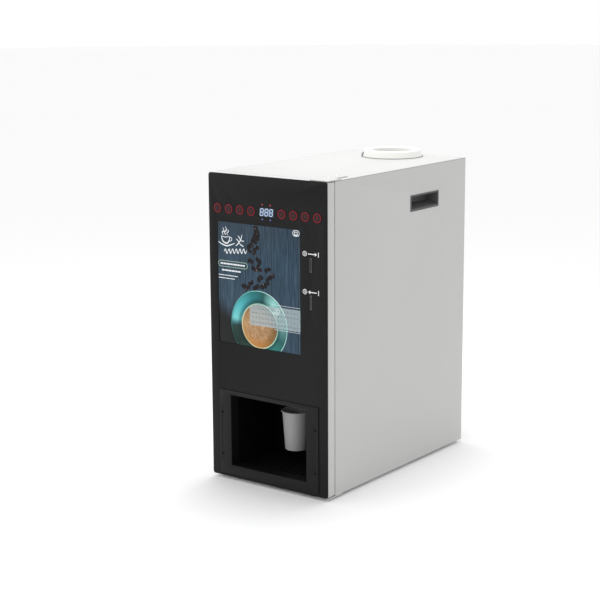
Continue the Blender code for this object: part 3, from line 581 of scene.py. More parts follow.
def around(tree, centre):
    """Turn from 0 to 1 about a centre, anticlockwise from the right, and distance from it in mm."""
    _, (across, _, up) = axes_of(tree)
    x, z = calc(tree, "SUBTRACT", across, centre[0]), calc(tree, "SUBTRACT", up, centre[1])
    angle = calc(tree, "ARCTAN2", calc(tree, "MULTIPLY", z, -1.0), calc(tree, "MULTIPLY", x, -1.0))
    turn = mapped_flat(tree, angle)
    return turn, calc(tree, "SQRT",
                      calc(tree, "ADD", calc(tree, "MULTIPLY", x, x), calc(tree, "MULTIPLY", z, z)))


def mapped_flat(tree, angle):
    return add(tree, "ShaderNodeMapRange",
               {"Value": angle, "From Min": -math.pi, "From Max": math.pi}).outputs[0]


film_saucer, tree, inked = printed("printed_film_teal_saucer")
turn, far = around(tree, SAUCER)
glaze = ramp(tree, turn, (0.0, "#5f8f8e"), (0.09, "#4a9b97"), (0.15, "#8fcfc8"), (0.22, "#235a5b"),
             (0.3, "#2f7c80"),
             (0.4, "#52b4bb"), (0.475, "#76cccd"), (0.5, "#46757a"), (0.515, "#26403c"), (0.6, "#1f332c"),
             (0.68, "#2d4a44"), (0.75, "#2f7a72"), (0.84, "#2f7f78"), (0.93, "#2b5f5e"), (1.0, "#5f8f8e"))
glaze = mixed(tree, mapped(tree, far, 56, 66, 0.55, 0.0), glaze, "#0d2523")
glaze = mixed(tree, mapped(tree, far, 74, 82, 0.0, 0.3), glaze, "#123a3a")
inked(glaze)
film_rim, tree, inked = printed("printed_film_pale_rim")
turn, _ = around(tree, SAUCER)
inked(ramp(tree, turn, (0.0, "#9ad2c8"), (0.12, "#d4f2ea"), (0.3, "#7cc4bd"), (0.45, "#4f9d9a"),
           (0.56, "#24463f"),
           (0.72, "#3c8379"), (0.85, "#b9e6dc"), (1.0, "#9ad2c8")))
film_cup, tree, inked = printed("printed_film_cup_wall")
turn, _ = around(tree, CUP)
inked(ramp(tree, turn, (0.0, "#7fb0a6"), (0.12, "#c8ecde"), (0.25, "#8fc0b2"), (0.45, "#d9d6b4"),
           (0.6, "#cdbf94"),
           (0.75, "#d6cfa4"), (0.9, "#a3d3c2"), (1.0, "#7fb0a6")))
film_coffee, tree, inked = printed("printed_film_coffee")
turn, far = around(tree, (CUP[0] - 4, CUP[1] + 2))
froth = add(tree, "ShaderNodeTexNoise", {"Vector": add(tree, "ShaderNodeTexCoord").outputs["Object"],
                                         "Scale": 110.0, "Detail": 6.0, "Distortion": 1.2})
crema = ramp(tree, froth.outputs[0], (0.35, "#9c7856"), (0.65, "#c29e76"), (0.5, "#b08b65"))
crema = mixed(tree, mapped(tree, far, 26, 50, 0.0, 0.85), crema,
              ramp(tree, turn, (0.0, "#6b4a22"), (0.2, "#4a3a28"), (0.3, "#5f4a36"), (0.5, "#b98f5c"),
                   (0.75, "#b87a34"),
                   (0.9, "#7d5a2c"), (1.0, "#6b4a22")))
inked(crema)

film_glint, _, _ = printed("printed_film_glint", "#d3f0e6")
handle_turn = Matrix.Rotation(math.radians(38), 2)
handle = [tuple(Vector(CUP) + handle_turn @ Vector(p)) for p in
          ((50, -7), (66, -8), (72, -5), (74, 0), (72, 5), (66, 8), (50, 7))]
shown(made_of("poster_saucer", (film_saucer, film(circle(*SAUCER, SAUCER_RADIUS - 0.8), 0.62, 0.72)),
              (film_rim, prism(circle(*SAUCER, SAUCER_RADIUS, -39, 219, 110)
                               + circle(*SAUCER, SAUCER_RADIUS - 1.7, -39, 219, 110)[::-1], "y", 0.22,
                               0.68)),
              (film_glint, film(handle, 0.5, 0.6))), "door")
shown(made_of("poster_cup", (film_cup, film(circle(*CUP, CUP_RADIUS), 0.42, 0.52),
                             ring((CUP[0], 0, CUP[1]), CUP_RADIUS - 2.4, CUP_RADIUS - 1.0, "y", 0.22, 0.45,
                                  96)),
              (film_coffee, film(circle(*CUP, CUP_RADIUS - 2.6), 0.34, 0.44))), "door")

# --- Poster beans -----------------------------------------------------------------------------------
# Roasted beans printed on the film, falling from its top towards the cup. Each is a thin half bean
# with a crease, set by Geometry Nodes with its own turn and size.

film_bean, tree, inked = printed("printed_film_roast_bean")
place, _ = axes_of(tree)
shine = add(tree, "ShaderNodeTexNoise", {"Vector": place, "Scale": 230.0, "Detail": 1.0})
inked(ramp(tree, shine.outputs[0], (0.58, "#1a1618"), (0.78, "#c39f88"), (0.69, "#382a29")))

BEANS = [(-32, 619), (-30, 611), (-33, 602), (-25, 603), (-36, 594), (-27, 595), (-34, 586), (-42, 588),
         (-53, 572),
         (-45, 577), (-35, 568), (-27, 573), (-38, 560), (-50, 563), (-21, 540), (-28, 545), (-44, 538),
         (-52, 541),
         (-33, 521), (-42, 524), (-21, 522), (-26, 530), (5, 526), (-3, 522), (17, 512), (9, 507),
         (-17, 505),
         (-24, 499), (1, 501), (-6, 487), (2, 493), (-14, 483), (-51, 486), (-44, 490), (-28, 482),
         (-36, 478),
         (-62, 475), (-68, 479), (-55, 478)]


def bean_tree(coat):
    """Half beans lying against the film, Length long, each with its own turn and size."""
    tree, given = tree_with("half_beans", Length=12.0 * MM, Thickness=0.5 * MM, Seed=5)
    ball = add(tree, "GeometryNodeMeshUVSphere", {"Segments": 16, "Rings": 9, "Radius": 0.5})
    shape = vector(tree, given["Length"], times(tree, given["Thickness"], 2.0),
                   times(tree, given["Length"], 0.76))
    bean = add(tree, "GeometryNodeTransform", {"Geometry": ball.outputs[0], "Scale": shape})
    groove = add(tree, "GeometryNodeMeshCube", {"Size": vector(tree, times(tree, given["Length"], 1.1),
                                                               given["Thickness"],
                                                               times(tree, given["Length"], 0.05))})
    lifted = add(tree, "GeometryNodeTransform", {"Geometry": groove.outputs[0], "Translation":
                                                 vector(tree, y=times(tree, given["Thickness"], -1.0))})
    creased = add(tree, "GeometryNodeMeshBoolean", {0: bean.outputs[0], 1: lifted.outputs[0]},
                  operation="DIFFERENCE", solver="EXACT")
    spin = add(tree, "FunctionNodeRandomValue", {2: 0.0, 3: 2 * math.pi, "Seed": given["Seed"]},
               data_type="FLOAT")
    size = add(tree, "FunctionNodeRandomValue", {2: 0.75, 3: 1.1, "Seed": given["Seed"]}, data_type="FLOAT")
    facing = add(tree, "FunctionNodeEulerToRotation", {0: vector(tree, y=spin.outputs[1])})
    return end_tree(tree, given, creased, coat, Rotation=facing.outputs[0], Scale=size.outputs[1])


# Three depths keep neighbouring beans apart where they overlap.
beans = grown("poster_beans", bean_tree(film_bean), film_bean,
              [(x, 0.56 - 0.12 * (i % 3), z) for i, (x, z) in enumerate(BEANS)],
              Length=14.0 * MM, Thickness=0.12 * MM, Seed=5)
shown(smooth(beans, 40), "door")

# --- Poster marks -----------------------------------------------------------------------------------
# White and pale marks on the film: a brushed cup with steam at the upper left, a pill-shaped frame and
# plain bars below it, a small cup badge at the upper right, and a translucent band beside the cup.

film_white, _, _ = printed("printed_film_white", "#e9eef0")
film_gold, _, _ = printed("printed_film_pale_green", "#a9c2ac")
film_band, _, _ = printed("printed_film_translucent_band", "#b4c4c8")
film_band.node_tree.nodes["Principled BSDF"].inputs["Alpha"].default_value = 0.42


def brushed(points, width, low=0.14, high=0.24):
    """A brush stroke along a smooth line of (x, z) points, width mm at its fullest, thin at both ends."""
    line = through([(x, z, 0) for x, z in points], 6)
    left, right = [], []
    for i, point in enumerate(line):
        ahead = (line[min(i + 1, len(line) - 1)] - line[max(i - 1, 0)]).normalized()
        half = width / 2 * (0.25 + 0.75 * math.sin(math.pi * (0.12 + 0.8 * i / (len(line) - 1))))
        side = Vector((-ahead.y, ahead.x, 0)) * half
        left.append((point + side)[:2])
        right.append((point - side)[:2])
    return prism(left + right[::-1], "y", low, high)


def framed(x, z, radius, line, low=0.14, high=0.24):
    """A round-ended frame, as two nested outlines joined by its ends."""
    def pill(inset):
        r = radius - inset
        return (circle(x[1] - radius, (z[0] + z[1]) / 2, r, -90, 90, 12)
                + circle(x[0] + radius, (z[0] + z[1]) / 2, r, 90, 270, 12))

    outer, inner = pill(0), pill(line)
    shape = bmesh.new()
    rings = [[shape.verts.new((a, y, b)) for a, b in loop] for loop, y in
             ((outer, low), (outer, high), (inner, high), (inner, low))]
    count = len(outer)
    for a, b in zip(rings, rings[1:] + rings[:1]):
        for i in range(count):
            shape.faces.new((a[i], a[(i + 1) % count], b[(i + 1) % count], b[i]))
    bmesh.ops.recalc_face_normals(shape, faces=shape.faces)
    return shape


def bars(x, z, height, gaps, low=0.14, high=0.24):
    """A row of plain bars: x holds the row's ends, gaps the share of the row at which each bar ends."""
    edges = [0.0] + list(gaps) + [1.0]
    span = x[1] - x[0]
    return [block((x[0] + span * a + 0.5, x[0] + span * b - 0.5), (low, high),
                  (z - height / 2, z + height / 2))
            for a, b in zip(edges, edges[1:])]


cup_drawing = [brushed([(-143, 577), (-132, 572), (-118, 569), (-104, 573), (-94, 577)], 3.0),
               brushed([(-133, 592), (-131, 582), (-124, 576), (-115, 576), (-110, 583), (-109, 592)], 3.2),
               brushed([(-133, 591), (-122, 589), (-109, 592)], 1.8),
               brushed([(-110, 589), (-104, 589), (-103, 583), (-110, 580)], 1.8),
               brushed([(-128, 594), (-131, 600), (-126, 604), (-129, 611)], 2.2),
               brushed([(-121, 594), (-124, 601), (-118, 606), (-121, 614)], 2.6),
               brushed([(-114, 594), (-117, 599), (-112, 603), (-114, 608)], 2.0)]
leaf_drawing = [brushed([(-91, 571), (-84, 577), (-76, 587), (-72, 599)], 2.6),
                brushed([(-89, 588), (-84, 584), (-80, 578)], 2.4),
                brushed([(-84, 596), (-79, 590), (-76, 584)], 2.2),
                brushed([(-68, 572), (-74, 574), (-81, 579)], 2.6),
                brushed([(-66, 585), (-71, 584), (-76, 586)], 2.0)]
wave_drawing = [brushed([(-126 + 11 * i, 555 + i), (-122 + 11 * i, 561 + i), (-118 + 11 * i, 551 + i),
                         (-114 + 11 * i, 558 + i)], 2.4) for i in range(6)]
badge = [framed((74, 95 - 1.2), (609.5, 624), 7.2, 1.4),
         brushed([(79, 620), (80, 613.5), (87, 613.5), (88, 620)], 2.2),
         block((79, 88), (0.14, 0.24), (618.6, 620.2)), block((77, 90), (0.14, 0.24), (611.3, 612.4))]
text_rows = bars((-134, -77), 511, 3.4, (0.16, 0.34, 0.52, 0.7, 0.84)) + \
    bars((-144, -86), 499, 1.8, (0.3, 0.45, 0.8)) + bars((-144, -95), 492, 1.8, (0.42, 0.7))
shown(made_of("poster_marks", (film_white, *cup_drawing, *leaf_drawing, *wave_drawing, *badge, *text_rows,
                               *bars((-138, -64), 526.5, 3.6, (0.12, 0.24, 0.4, 0.52, 0.68, 0.8, 0.9)),
                               block((14, 94), (0.14, 0.24), (444.6, 445.3)),
                               block((20, 94), (0.14, 0.24), (386.8, 387.5))),
              (film_gold, framed((-146 + 1.6, -56), (519, 534), 7.5, 1.3))), "door")
BAND_ROWS = (431, 420, 409, 398)
band_ink, _, _ = printed("printed_film_dark_ink", "#5d6a6e")
band_rows = [bar for row, z in enumerate(BAND_ROWS)
             for k in range(15) for bar in bars((-44 + 9.2 * k, -40 + 9.2 * k + row % 2), z, 2.6, (0.45,))
             if row or k > 1]
band = [(-52, 390), (94.6, 390), (94.6, 440.4)] + circle(*CUP, CUP_RADIUS - 2.6, 92, 125, 10)
shown(made_of("poster_band", (film_band, prism(band, "y", 0.28, 0.32)), (band_ink, *band_rows)), "door")

# --- Display ----------------------------------------------------------------------------------------
# A smoked acrylic window flush in the face. Behind it three seven-segment digits shine pale blue, with
# two red lamps above it and two blue ones below.

smoked = finish("smoked_acrylic", "#0b0e14", 0.2, grain=3, depth=0.002, Specular_IOR_Level=0.2)
refined("display_window", "display_window_smoked", "door", smoked, 0.25, "smoked_lens")
lit_blue_white, _, _ = new_material("lit_segment", "#20262c", 0.4, Emission_Strength=1.0)
lit_blue_white.node_tree.nodes["Principled BSDF"].inputs["Emission Color"].default_value = linear("#c3d8f4")
halo_blue, tree, shader = new_material("lit_segment_halo", "#05070c", 0.4, Emission_Strength=1.0)
_, (across, _, up) = axes_of(tree)
off = calc(tree, "MAXIMUM", calc(tree, "SUBTRACT", calc(tree, "ABSOLUTE", across), 15.0),
           calc(tree, "SUBTRACT", calc(tree, "ABSOLUTE", calc(tree, "SUBTRACT", up, 656.8)), 5.5))
tree.links.new(ramp(tree, mapped(tree, off, 0.0, 6.0), (0.0, "#2f3f66"), (1.0, "#0b0e14")),
               shader.inputs["Emission Color"])
DIGIT_X, DIGIT_Z, DIGIT_W, DIGIT_H, STROKE = (-13.4, 0.0, 13.4), 656.8, 8.4, 15.6, 1.9


def segment(x1, z1, x2, z2):
    """One bar of a digit, pointed at both ends and leaning right with height."""
    along = Vector((x2 - x1, z2 - z1)).normalized()
    side = Vector((-along.y, along.x)) * STROKE / 2
    a, b = Vector((x1, z1)) + along * 0.3, Vector((x2, z2)) - along * 0.3
    tip = along * STROKE / 2
    outline = [a, a + tip + side, b - tip + side, b, b - tip - side, a + tip - side]
    return prism([(x + 0.12 * (z - DIGIT_Z), z) for x, z in outline], "y", 0.28, 0.38)


def digit(x):
    low, middle, high = DIGIT_Z - DIGIT_H / 2, DIGIT_Z, DIGIT_Z + DIGIT_H / 2
    left, right = x - DIGIT_W / 2, x + DIGIT_W / 2
    return [segment(left, z, right, z) for z in (low, middle, high)] + \
        [segment(side, a, side, b) for side in (left, right) for a, b in ((low, middle), (middle, high))]


shown(made_of("display_digits", (lit_blue_white, *[bar for x in DIGIT_X for bar in digit(x)]),
              (halo_blue, block((-21, 21), (0.385, 0.395), (646.8, 666.8)))), "door")

red_lamp, _, shader = new_material("lit_red_lamp", "#3a0a10", 0.3, Emission_Strength=1.0)
shader.inputs["Emission Color"].default_value = linear("#a32a3a")
blue_lamp, _, shader = new_material("lit_blue_lamp", "#0a0a3a", 0.3, Emission_Strength=1.0)
shader.inputs["Emission Color"].default_value = linear("#5a63b4")
LAMP_X = 11.5


def lamps(z):
    return [turned([(0, 0.4), (1.9, 0.4), (1.9, -0.2), (1.5, -0.55), (0.8, -0.75), (0, -0.8)], (x, 0, z),
                   "y", 24)
            for x in (-LAMP_X, LAMP_X)]


shown(smooth(made_of("display_lamps", (red_lamp, *lamps(674.0)), (blue_lamp, *lamps(640.2))), 40), "door")

# --- Buttons ----------------------------------------------------------------------------------------
# Eight round black push buttons with a red lit ring and a red number on the cap, each sprung on a stem
# that presses a switch on the board behind.

button_black = finish("button_black_satin", "#2a1013", 0.35, grain=1, depth=0.002, Specular_IOR_Level=0.25)
lit_red, _, shader = new_material("lit_red_ring", "#2a080b", 0.4, Emission_Strength=1.0,
                                  Specular_IOR_Level=0.2)
shader.inputs["Emission Color"].default_value = linear("#7d0f1e")
dim_red, _, shader = new_material("lit_red_numeral", "#2a080b", 0.4, Emission_Strength=1.0,
                                  Specular_IOR_Level=0.2)
shader.inputs["Emission Color"].default_value = linear("#6a1a22")
BUTTON_Z, BUTTON_FACE = 656.4, -1.0
BUTTON_PLACES = sorted(side * x for side in (-1, 1) for x in (143.4, 110.2, 77.1, 44.0))


def numeral(number, x, z, size, y):
    """A number as a thin closed shape on an upright face at y."""
    text = bpy.data.curves.new("numeral", "FONT")
    text.body = str(number)
    text.size = size
    text.extrude = 0.03
    text.align_x = "CENTER"
    text.align_y = "CENTER"
    text.resolution_u = 4
    holder = bpy.data.objects.new("numeral", text)
    bpy.context.scene.collection.objects.link(holder)
    mesh = bpy.data.meshes.new_from_object(holder.evaluated_get(bpy.context.evaluated_depsgraph_get()))
    shape = bmesh.new()
    shape.from_mesh(mesh)
    bmesh.ops.remove_doubles(shape, verts=shape.verts, dist=1e-4)
    shape.transform(Matrix.Translation((x, y, z)) @ Matrix.Rotation(math.pi / 2, 4, "X"))
    bpy.data.objects.remove(holder)
    bpy.data.meshes.remove(mesh)
    bpy.data.curves.remove(text)
    return shape


for number, x in enumerate(BUTTON_PLACES, 1):
    cap = turned([(0, BUTTON_FACE), (9.6, BUTTON_FACE), (10.9, BUTTON_FACE + 0.25),
                  (11.4, BUTTON_FACE + 0.7),
                  (11.5, BUTTON_FACE + 1.2), (11.5, 5.0), (0, 5.0)], (x, 0, BUTTON_Z), "y", 48)
    stem = rod((x, 4.9, BUTTON_Z), 3.5, 5.3, "y", sides=20)
    band = ring((x, 0, BUTTON_Z), 9.0, 11.0, "y", BUTTON_FACE - 0.08, BUTTON_FACE + 0.35, 48)
    made = made_of(f"button_{number}_lit", (button_black, cap, stem),
                   (lit_red, band), (dim_red, numeral(number, x, BUTTON_Z, 9.5, BUTTON_FACE - 0.04)))
    shown(smooth(made), f"button_{number}", f"button_{number}", slot="button_black")

# --- Coin slots -------------------------------------------------------------------------------------
# Two upright coin slits in grey die-cast bezels, with a white coin and arrow sign printed over each:
# the upper arrow goes in, the lower one comes back.

die_cast = finish("grey_die_cast", "#5a5b5d", 0.42, grain=0.7, depth=0.006, metallic=0.4)
refined("coin_slot_bezel", "coin_slot_bezel_cast", "door", die_cast, 0.35, "grey_plastic")
refined("coin_return_bezel", "coin_return_bezel_cast", "door", die_cast, 0.35, "grey_plastic")
white_print, _, _ = new_material("white_screen_print", "#e6e6e6", 0.5)
COIN_X, SIGN_FRONT, SIGN_BACK = 125.3, -0.06, 0.05


def coin_sign(z, way):
    """A coin, seen flat, and a curved arrow beside it that points in (way 1) or out (way -1)."""
    coin = [ring((COIN_X - 17, 0, z), 4.6, 6.0, "y", SIGN_FRONT, SIGN_BACK, 40),
            ring((COIN_X - 17, 0, z), 1.4, 2.6, "y", SIGN_FRONT, SIGN_BACK, 32)]
    tail, tip = (COIN_X - 8, COIN_X + 11) if way > 0 else (COIN_X + 16, COIN_X - 2)
    shaft = block(sorted((tail, tip)), (SIGN_FRONT, SIGN_BACK), (z - 1.1, z + 1.1))
    head = prism([(tip, z - 4.2), (tip + way * 6.0, z), (tip, z + 4.2)], "y", SIGN_FRONT, SIGN_BACK)
    slit = block((COIN_X + 20, COIN_X + 22), (SIGN_FRONT, SIGN_BACK), (z - 5.6, z + 5.6))
    return coin + [shaft, head, slit]


shown(made_of("coin_signs", (white_print, *coin_sign(573.5, 1), *coin_sign(486.5, -1))), "door")

# --- Cup bay ----------------------------------------------------------------------------------------
# A black moulded box behind the door's opening. Its floor holds a lift-out drip tray under a slotted
# grille, and a fork on its back wall carries the cup by its rim.

# The liner is set darker than black plastic reflects: its own black, with painted shade for the deep bay
# added.
bay_black_and_shade = finish("moulded_black_abs_and_painted_shade", "#040404", 0.7, grain=1.1, depth=0.03, Specular_IOR_Level=0.06)
tray_black = finish("moulded_black_polypropylene", "#0b0b0b", 0.6, grain=0.8, depth=0.02,
                    Specular_IOR_Level=0.1)
refined("cup_bay_liner", "cup_bay_liner_moulded", "cabinet", bay_black_and_shade, 0.4, "black_plastic")
refined("drip_tray", "drip_tray_moulded", "drip_tray", tray_black, 0.6, "black_plastic")
refined("drip_grille", "drip_grille_moulded", "drip_grille", tray_black, 0.5, "black_plastic")
refined("cup_fork", "cup_fork_moulded", "cabinet", tray_black, 0.8, "black_plastic", 3)
screws("cup_fork_screws", "cabinet", BLACK_SCREWS, FRONT,
       [(x, 173.4, z) for x in (-11.5, 16.5) for z in (152, 177)],
       2.6, 1.0)

# --- Cup --------------------------------------------------------------------------------------------
# A tall paper cup, 72 mm across its rim and about 240 ml to the brim: a wrapped cone of coated board
# with a lapped side seam, a rolled rim and a base set up inside the wall.

# The board is coloured mid grey, not paper white: painted shade, as the cup stands deep in the shaded bay.
cup_paper = finish("coated_paper_board_painted_shade", "#a8a8a8", 0.62, grain=0.35, depth=0.01, spread=0.04)
CUP_X, CUP_Y, CUP_BASE, CUP_TOP = 2.5, 104.0, 74.4, 170.0
FOOT_RADIUS, WALL_TOP_RADIUS, WALL, ROLL = 26.5, 33.0, 0.8, 1.45


def cup_radius(z):
    return FOOT_RADIUS + (WALL_TOP_RADIUS - FOOT_RADIUS) * (z - CUP_BASE) / (CUP_TOP - CUP_BASE)


rolled_rim = [(WALL_TOP_RADIUS + 1.5 + ROLL * math.cos(math.radians(a)),
               CUP_TOP - ROLL + ROLL * math.sin(math.radians(a)))
              for a in range(-120, 151, 30)]
CUP_FLOOR = CUP_BASE + 6
cup_outside = [(0, CUP_BASE + 5), (FOOT_RADIUS - 2.2, CUP_BASE + 5), (FOOT_RADIUS - 1.3, CUP_BASE + 0.4),
               (FOOT_RADIUS - 0.9, CUP_BASE), (FOOT_RADIUS - 0.3, CUP_BASE), (FOOT_RADIUS, CUP_BASE + 0.5),
               (cup_radius(CUP_TOP - 2.8), CUP_TOP - 2.8)]
cup_inside = [(cup_radius(CUP_TOP - 1.5) - WALL, CUP_TOP - 1.5),
              (cup_radius(CUP_FLOOR) - WALL, CUP_FLOOR + 0.6),
              (cup_radius(CUP_FLOOR) - WALL - 0.8, CUP_FLOOR), (0, CUP_FLOOR)]
SEAM_TURN = math.radians(150)
SEAM_LOW, SEAM_HIGH = CUP_BASE + 1, CUP_TOP - 3.4
seam_section = [(SEAM_LOW, -0.2), (SEAM_LOW, 0.3), (SEAM_HIGH, 0.3), (SEAM_HIGH, -0.2)]
seam = bmesh.new()
strips = [[seam.verts.new((CUP_X + math.cos(turn) * (cup_radius(z) + out),
                           CUP_Y + math.sin(turn) * (cup_radius(z) + out), z)) for z, out in seam_section]
          for turn in [SEAM_TURN + math.radians(1.5 * step) for step in range(6)]]
for here, there in zip(strips, strips[1:]):
    for k in range(4):
        seam.faces.new((here[k], here[k - 1], there[k - 1], there[k]))
seam.faces.new(strips[0])
seam.faces.new(strips[-1])
bmesh.ops.recalc_face_normals(seam, faces=seam.faces)
cup_shape = turned(cup_outside + rolled_rim + cup_inside, (CUP_X, CUP_Y, 0), sides=72)
shown(smooth(made_of("paper_cup_rolled", (cup_paper, cup_shape, seam)), 40), "cup", "paper_cup",
      slot="cup_paper")

# --- Side handles -----------------------------------------------------------------------------------
# Black moulded grips pressed into the side panels: a thin flange, and a pocket whose floor rises inward
# so that fingers hook over its lip.

grip_black = finish("moulded_black_nylon", "#4a4a4b", 0.5, grain=1.0, depth=0.03, Specular_IOR_Level=0.4)
for side in ("left", "right"):
    refined(f"handle_pocket_{side}", f"handle_{side}_moulded", "cabinet", grip_black, 0.35, "black_plastic")

# --- Bottle seat ------------------------------------------------------------------------------------
# A white moulded ring that carries an upturned water bottle: a coned flank, a flat lip, and a neck that
# reaches down into the tank. A small grey latch holds it at the front left.

white_abs = finish("moulded_white_abs", "#d6d6d2", 0.38, grain=1.2, depth=0.006)
latch_grey = finish("moulded_grey_abs", "#8a8b8e", 0.5, grain=0.9, depth=0.01)
SEAT = (2.0, 513.0, 0.0)
seat_profile = [(76, 738.3), (76, 740.2), (75.4, 741.2), (71.6, 752.2), (70.6, 753.9), (69.2, 755.1),
                (67.4, 755.5),
                (55.2, 755.5), (53.4, 755.0), (52.2, 753.8), (51.2, 751.6), (46.5, 716), (49.3, 716),
                (53.0, 738.3)]
shown(smooth(made_of("bottle_seat_moulded", (white_abs, turned(seat_profile, SEAT, sides=96))), 40),
      "cabinet",
      "bottle_seat_ring", slot="white_plastic")
LATCH_TURN = Matrix.Translation(SEAT) @ Matrix.Rotation(math.radians(222), 4, "Z")
latch = [block((72.2, 76.6), (-7, 7), (739.0, 747.5)), block((71.0, 74.0), (-4.5, 4.5), (747.3, 750.0)),
         block((76.2, 77.4), (-3, 3), (740.5, 744.5))]
for part in latch:
    part.transform(LATCH_TURN)
shown(eased(made_of("bottle_seat_latch", (latch_grey, *latch)), 0.4), "cabinet")
foot_seal = ring(SEAT, 75.2, 77.6, "z", 738.1, 739.1, 96)
rubber = finish("moulded_black_rubber", "#1b1b1b", 0.8, grain=0.7, depth=0.03)
grey_rubber = finish("moulded_grey_rubber", "#77787a", 0.75, grain=0.7, depth=0.02)
shown(smooth(made_of("bottle_seat_gasket", (grey_rubber, foot_seal))), "cabinet")

# --- Feet -------------------------------------------------------------------------------------------
# Four tapered rubber feet, each held by a screw sunk in its face, with a washer ring moulded in.

for number, (x, y) in enumerate([(x, y) for y in (80.0, 540.0) for x in (-118.0, 118.0)], 1):
    profile = [(4.5, 0), (11.4, 0), (12.2, 0.7), (14.0, 6.6), (13.6, 7.7), (0, 7.7), (0, 3.0), (4.5, 3.0)]
    pan = turned([(0, 2.9), (3.9, 2.9), (3.2, 1.2), (1.4, 0.9), (1.4, 2.0), (0, 2.0)], (x, y, 0), sides=24)
    made = made_of(f"foot_{number}_rubber", (rubber, turned(profile, (x, y, 0), sides=40)),
                   (zinc_screw, pan))
    shown(smooth(made, 40), "cabinet", f"foot_{number}", slot="black_rubber")

# --- Back panel fittings ----------------------------------------------------------------------------
# Pressed hoods over the louvre slots, a wire guard over the fan, a mains inlet with its rocker switch,
# and a blank aluminium rating plate.


def louvre_tree(coat):
    """A pressed hood at each point, Width long, standing Out from the panel over a slot."""
    tree, given = tree_with("louvre_hoods", Width=240.0 * MM, Out=2.2 * MM)
    hood = add(tree, "GeometryNodeMeshCube", {"Size": vector(tree, given["Width"], 0.8 * MM, 8.2 * MM)})
    tilted = add(tree, "GeometryNodeTransform", {"Geometry": hood.outputs[0], "Translation":
                                                 vector(tree, y=times(tree, given["Out"], 0.5)),
                                                 "Rotation": (math.radians(16), 0, 0)})
    return end_tree(tree, given, tilted, coat)


hoods = grown("louvre_hoods", louvre_tree(powder_coat), powder_coat,
              [(0, 590.0, 153.4 + 16.0 * row) for row in range(8)], Width=244.0 * MM, Out=2.4 * MM)
shown(eased(hoods, 0.25), "cabinet")

FAN = (-122.0, 575.2, 640.0)


def guard_tree(coat):
    """Concentric wire rings, a Pitch apart, about each point: the rings of a fan guard."""
    tree, given = tree_with("guard_rings", Rings=5, Pitch=7.6 * MM, Wire=0.8 * MM)
    line = add(tree, "GeometryNodeMeshLine", {"Count": given["Rings"], "Offset": (0, 0, 0)})
    radius = calc(tree, "MULTIPLY", calc(tree, "ADD", add(tree, "GeometryNodeInputIndex").outputs[0], 1.0),
                  given["Pitch"])
    circles = add(tree, "GeometryNodeInstanceOnPoints", {
        "Points": line.outputs[0], "Scale": radius, "Instance":
        add(tree, "GeometryNodeCurvePrimitiveCircle", {"Resolution": 48, "Radius": 1.0}).outputs[0]})
    rings = add(tree, "GeometryNodeRealizeInstances", {0: circles.outputs[0]})
    wire = add(tree, "GeometryNodeCurvePrimitiveCircle", {"Resolution": 8, "Radius": given["Wire"]})
    swept = add(tree, "GeometryNodeCurveToMesh",
                {"Curve": rings.outputs[0], "Profile Curve": wire.outputs[0]})
    upright = add(tree, "GeometryNodeTransform",
                  {"Geometry": swept.outputs[0], "Rotation": (math.pi / 2, 0, 0)})
    return end_tree(tree, given, upright, coat)


wire_steel = finish("bright_steel_wire", "#b9bbbd", 0.3, grain=0.5, depth=0.002, metallic=1.0)
shown(smooth(grown("fan_guard_rings", guard_tree(wire_steel), wire_steel, [(FAN[0], 591.6, FAN[2])],
                   Rings=5, Pitch=7.7 * MM, Wire=0.75 * MM), 60), "cabinet")
spokes = [hose([(FAN[0] + r * math.cos(a), 590.6, FAN[2] + r * math.sin(a)) for r in (-44, -20, 20, 44)],
               0.8, 8, 2)
          for a in (math.radians(45), math.radians(135))]
shown(smooth(made_of("fan_guard_spokes", (wire_steel, *spokes)), 60), "cabinet")
screws("fan_screws", "cabinet", ZINC_SCREWS, BACK,
       [(FAN[0] + x, 590, FAN[2] + z) for x in (-35, 35) for z in (-35, 35)],
       3.0, 1.4)

fan_black = finish("moulded_black_pbt", "#161617", 0.45, grain=0.8, depth=0.01)
refined("fan_housing", "fan_frame_moulded", "cabinet", fan_black, 0.8, "black_plastic")
rotor_label = finish("silver_label", "#b9bcbf", 0.35, grain=0.8, depth=0.001, metallic=0.6)
label = ring((FAN[0], 0, FAN[2]), 3.0, 12.0, "y", 584.2, 584.35, 40)
rotor = eased(as_object("fan_rotor_moulded", node_shape("fan_rotor"), fan_black), 0.4)
shown(rotor, "fan_rotor", "fan_rotor", slot="black_plastic")
shown(made_of("fan_rotor_label", (rotor_label, label)), "fan_rotor")

refined("power_inlet", "power_inlet_moulded", "cabinet", fan_black, 0.5, "black_plastic")
for number, (x, z) in enumerate(((119.5, 55.5), (126, 61), (132.5, 55.5)), 1):
    pin = block((x - 2, x + 2), (571, 585), (z - 1, z + 1))
    shown(eased(made_of(f"power_inlet_pin_{number}", (zinc_screw, pin)), 0.4), "cabinet")
screws("power_inlet_screws", "cabinet", ZINC_SCREWS, BACK, [(x, 592, 58) for x in (90.6, 141.4)], 1.3, 0.8)
rocker_marks = [block((103.0, 104.0), (590.55, 590.68), (61.4, 65.0))]
refined("rocker_switch", "rocker_switch_moulded", "rocker_switch", fan_black, 0.6, "black_plastic")
shown(made_of("rocker_switch_mark", (white_print, *rocker_marks)), "rocker_switch")

plate_silver = finish("anodised_aluminium_plate", "#b4b6b8", 0.38, grain=0.4, depth=0.002, metallic=0.9,
                      stretch=(0.05, 1, 1))
ink = finish("black_screen_print", "#222222", 0.5, grain=1, depth=0.001)
plate = prism([(-24, 86), (36, 86), (36, 122), (-24, 122)], "y", 590.0, 590.5)
plate_rows = [bar for row, z in enumerate((115, 109, 103, 97, 91))
              for bar in bars((-19, 31 - 9 * (row % 3)), z, 1.6, (0.25 + 0.07 * row, 0.62), 590.45, 590.56)]
shown(made_of("rating_plate", (plate_silver, plate), (ink, *plate_rows)), "cabinet")

# --- Lock -------------------------------------------------------------------------------------------
# A key lock in the left side: a steel escutcheon on the panel, a plug with a key slot, and the cam that
# stands behind the door's catch.

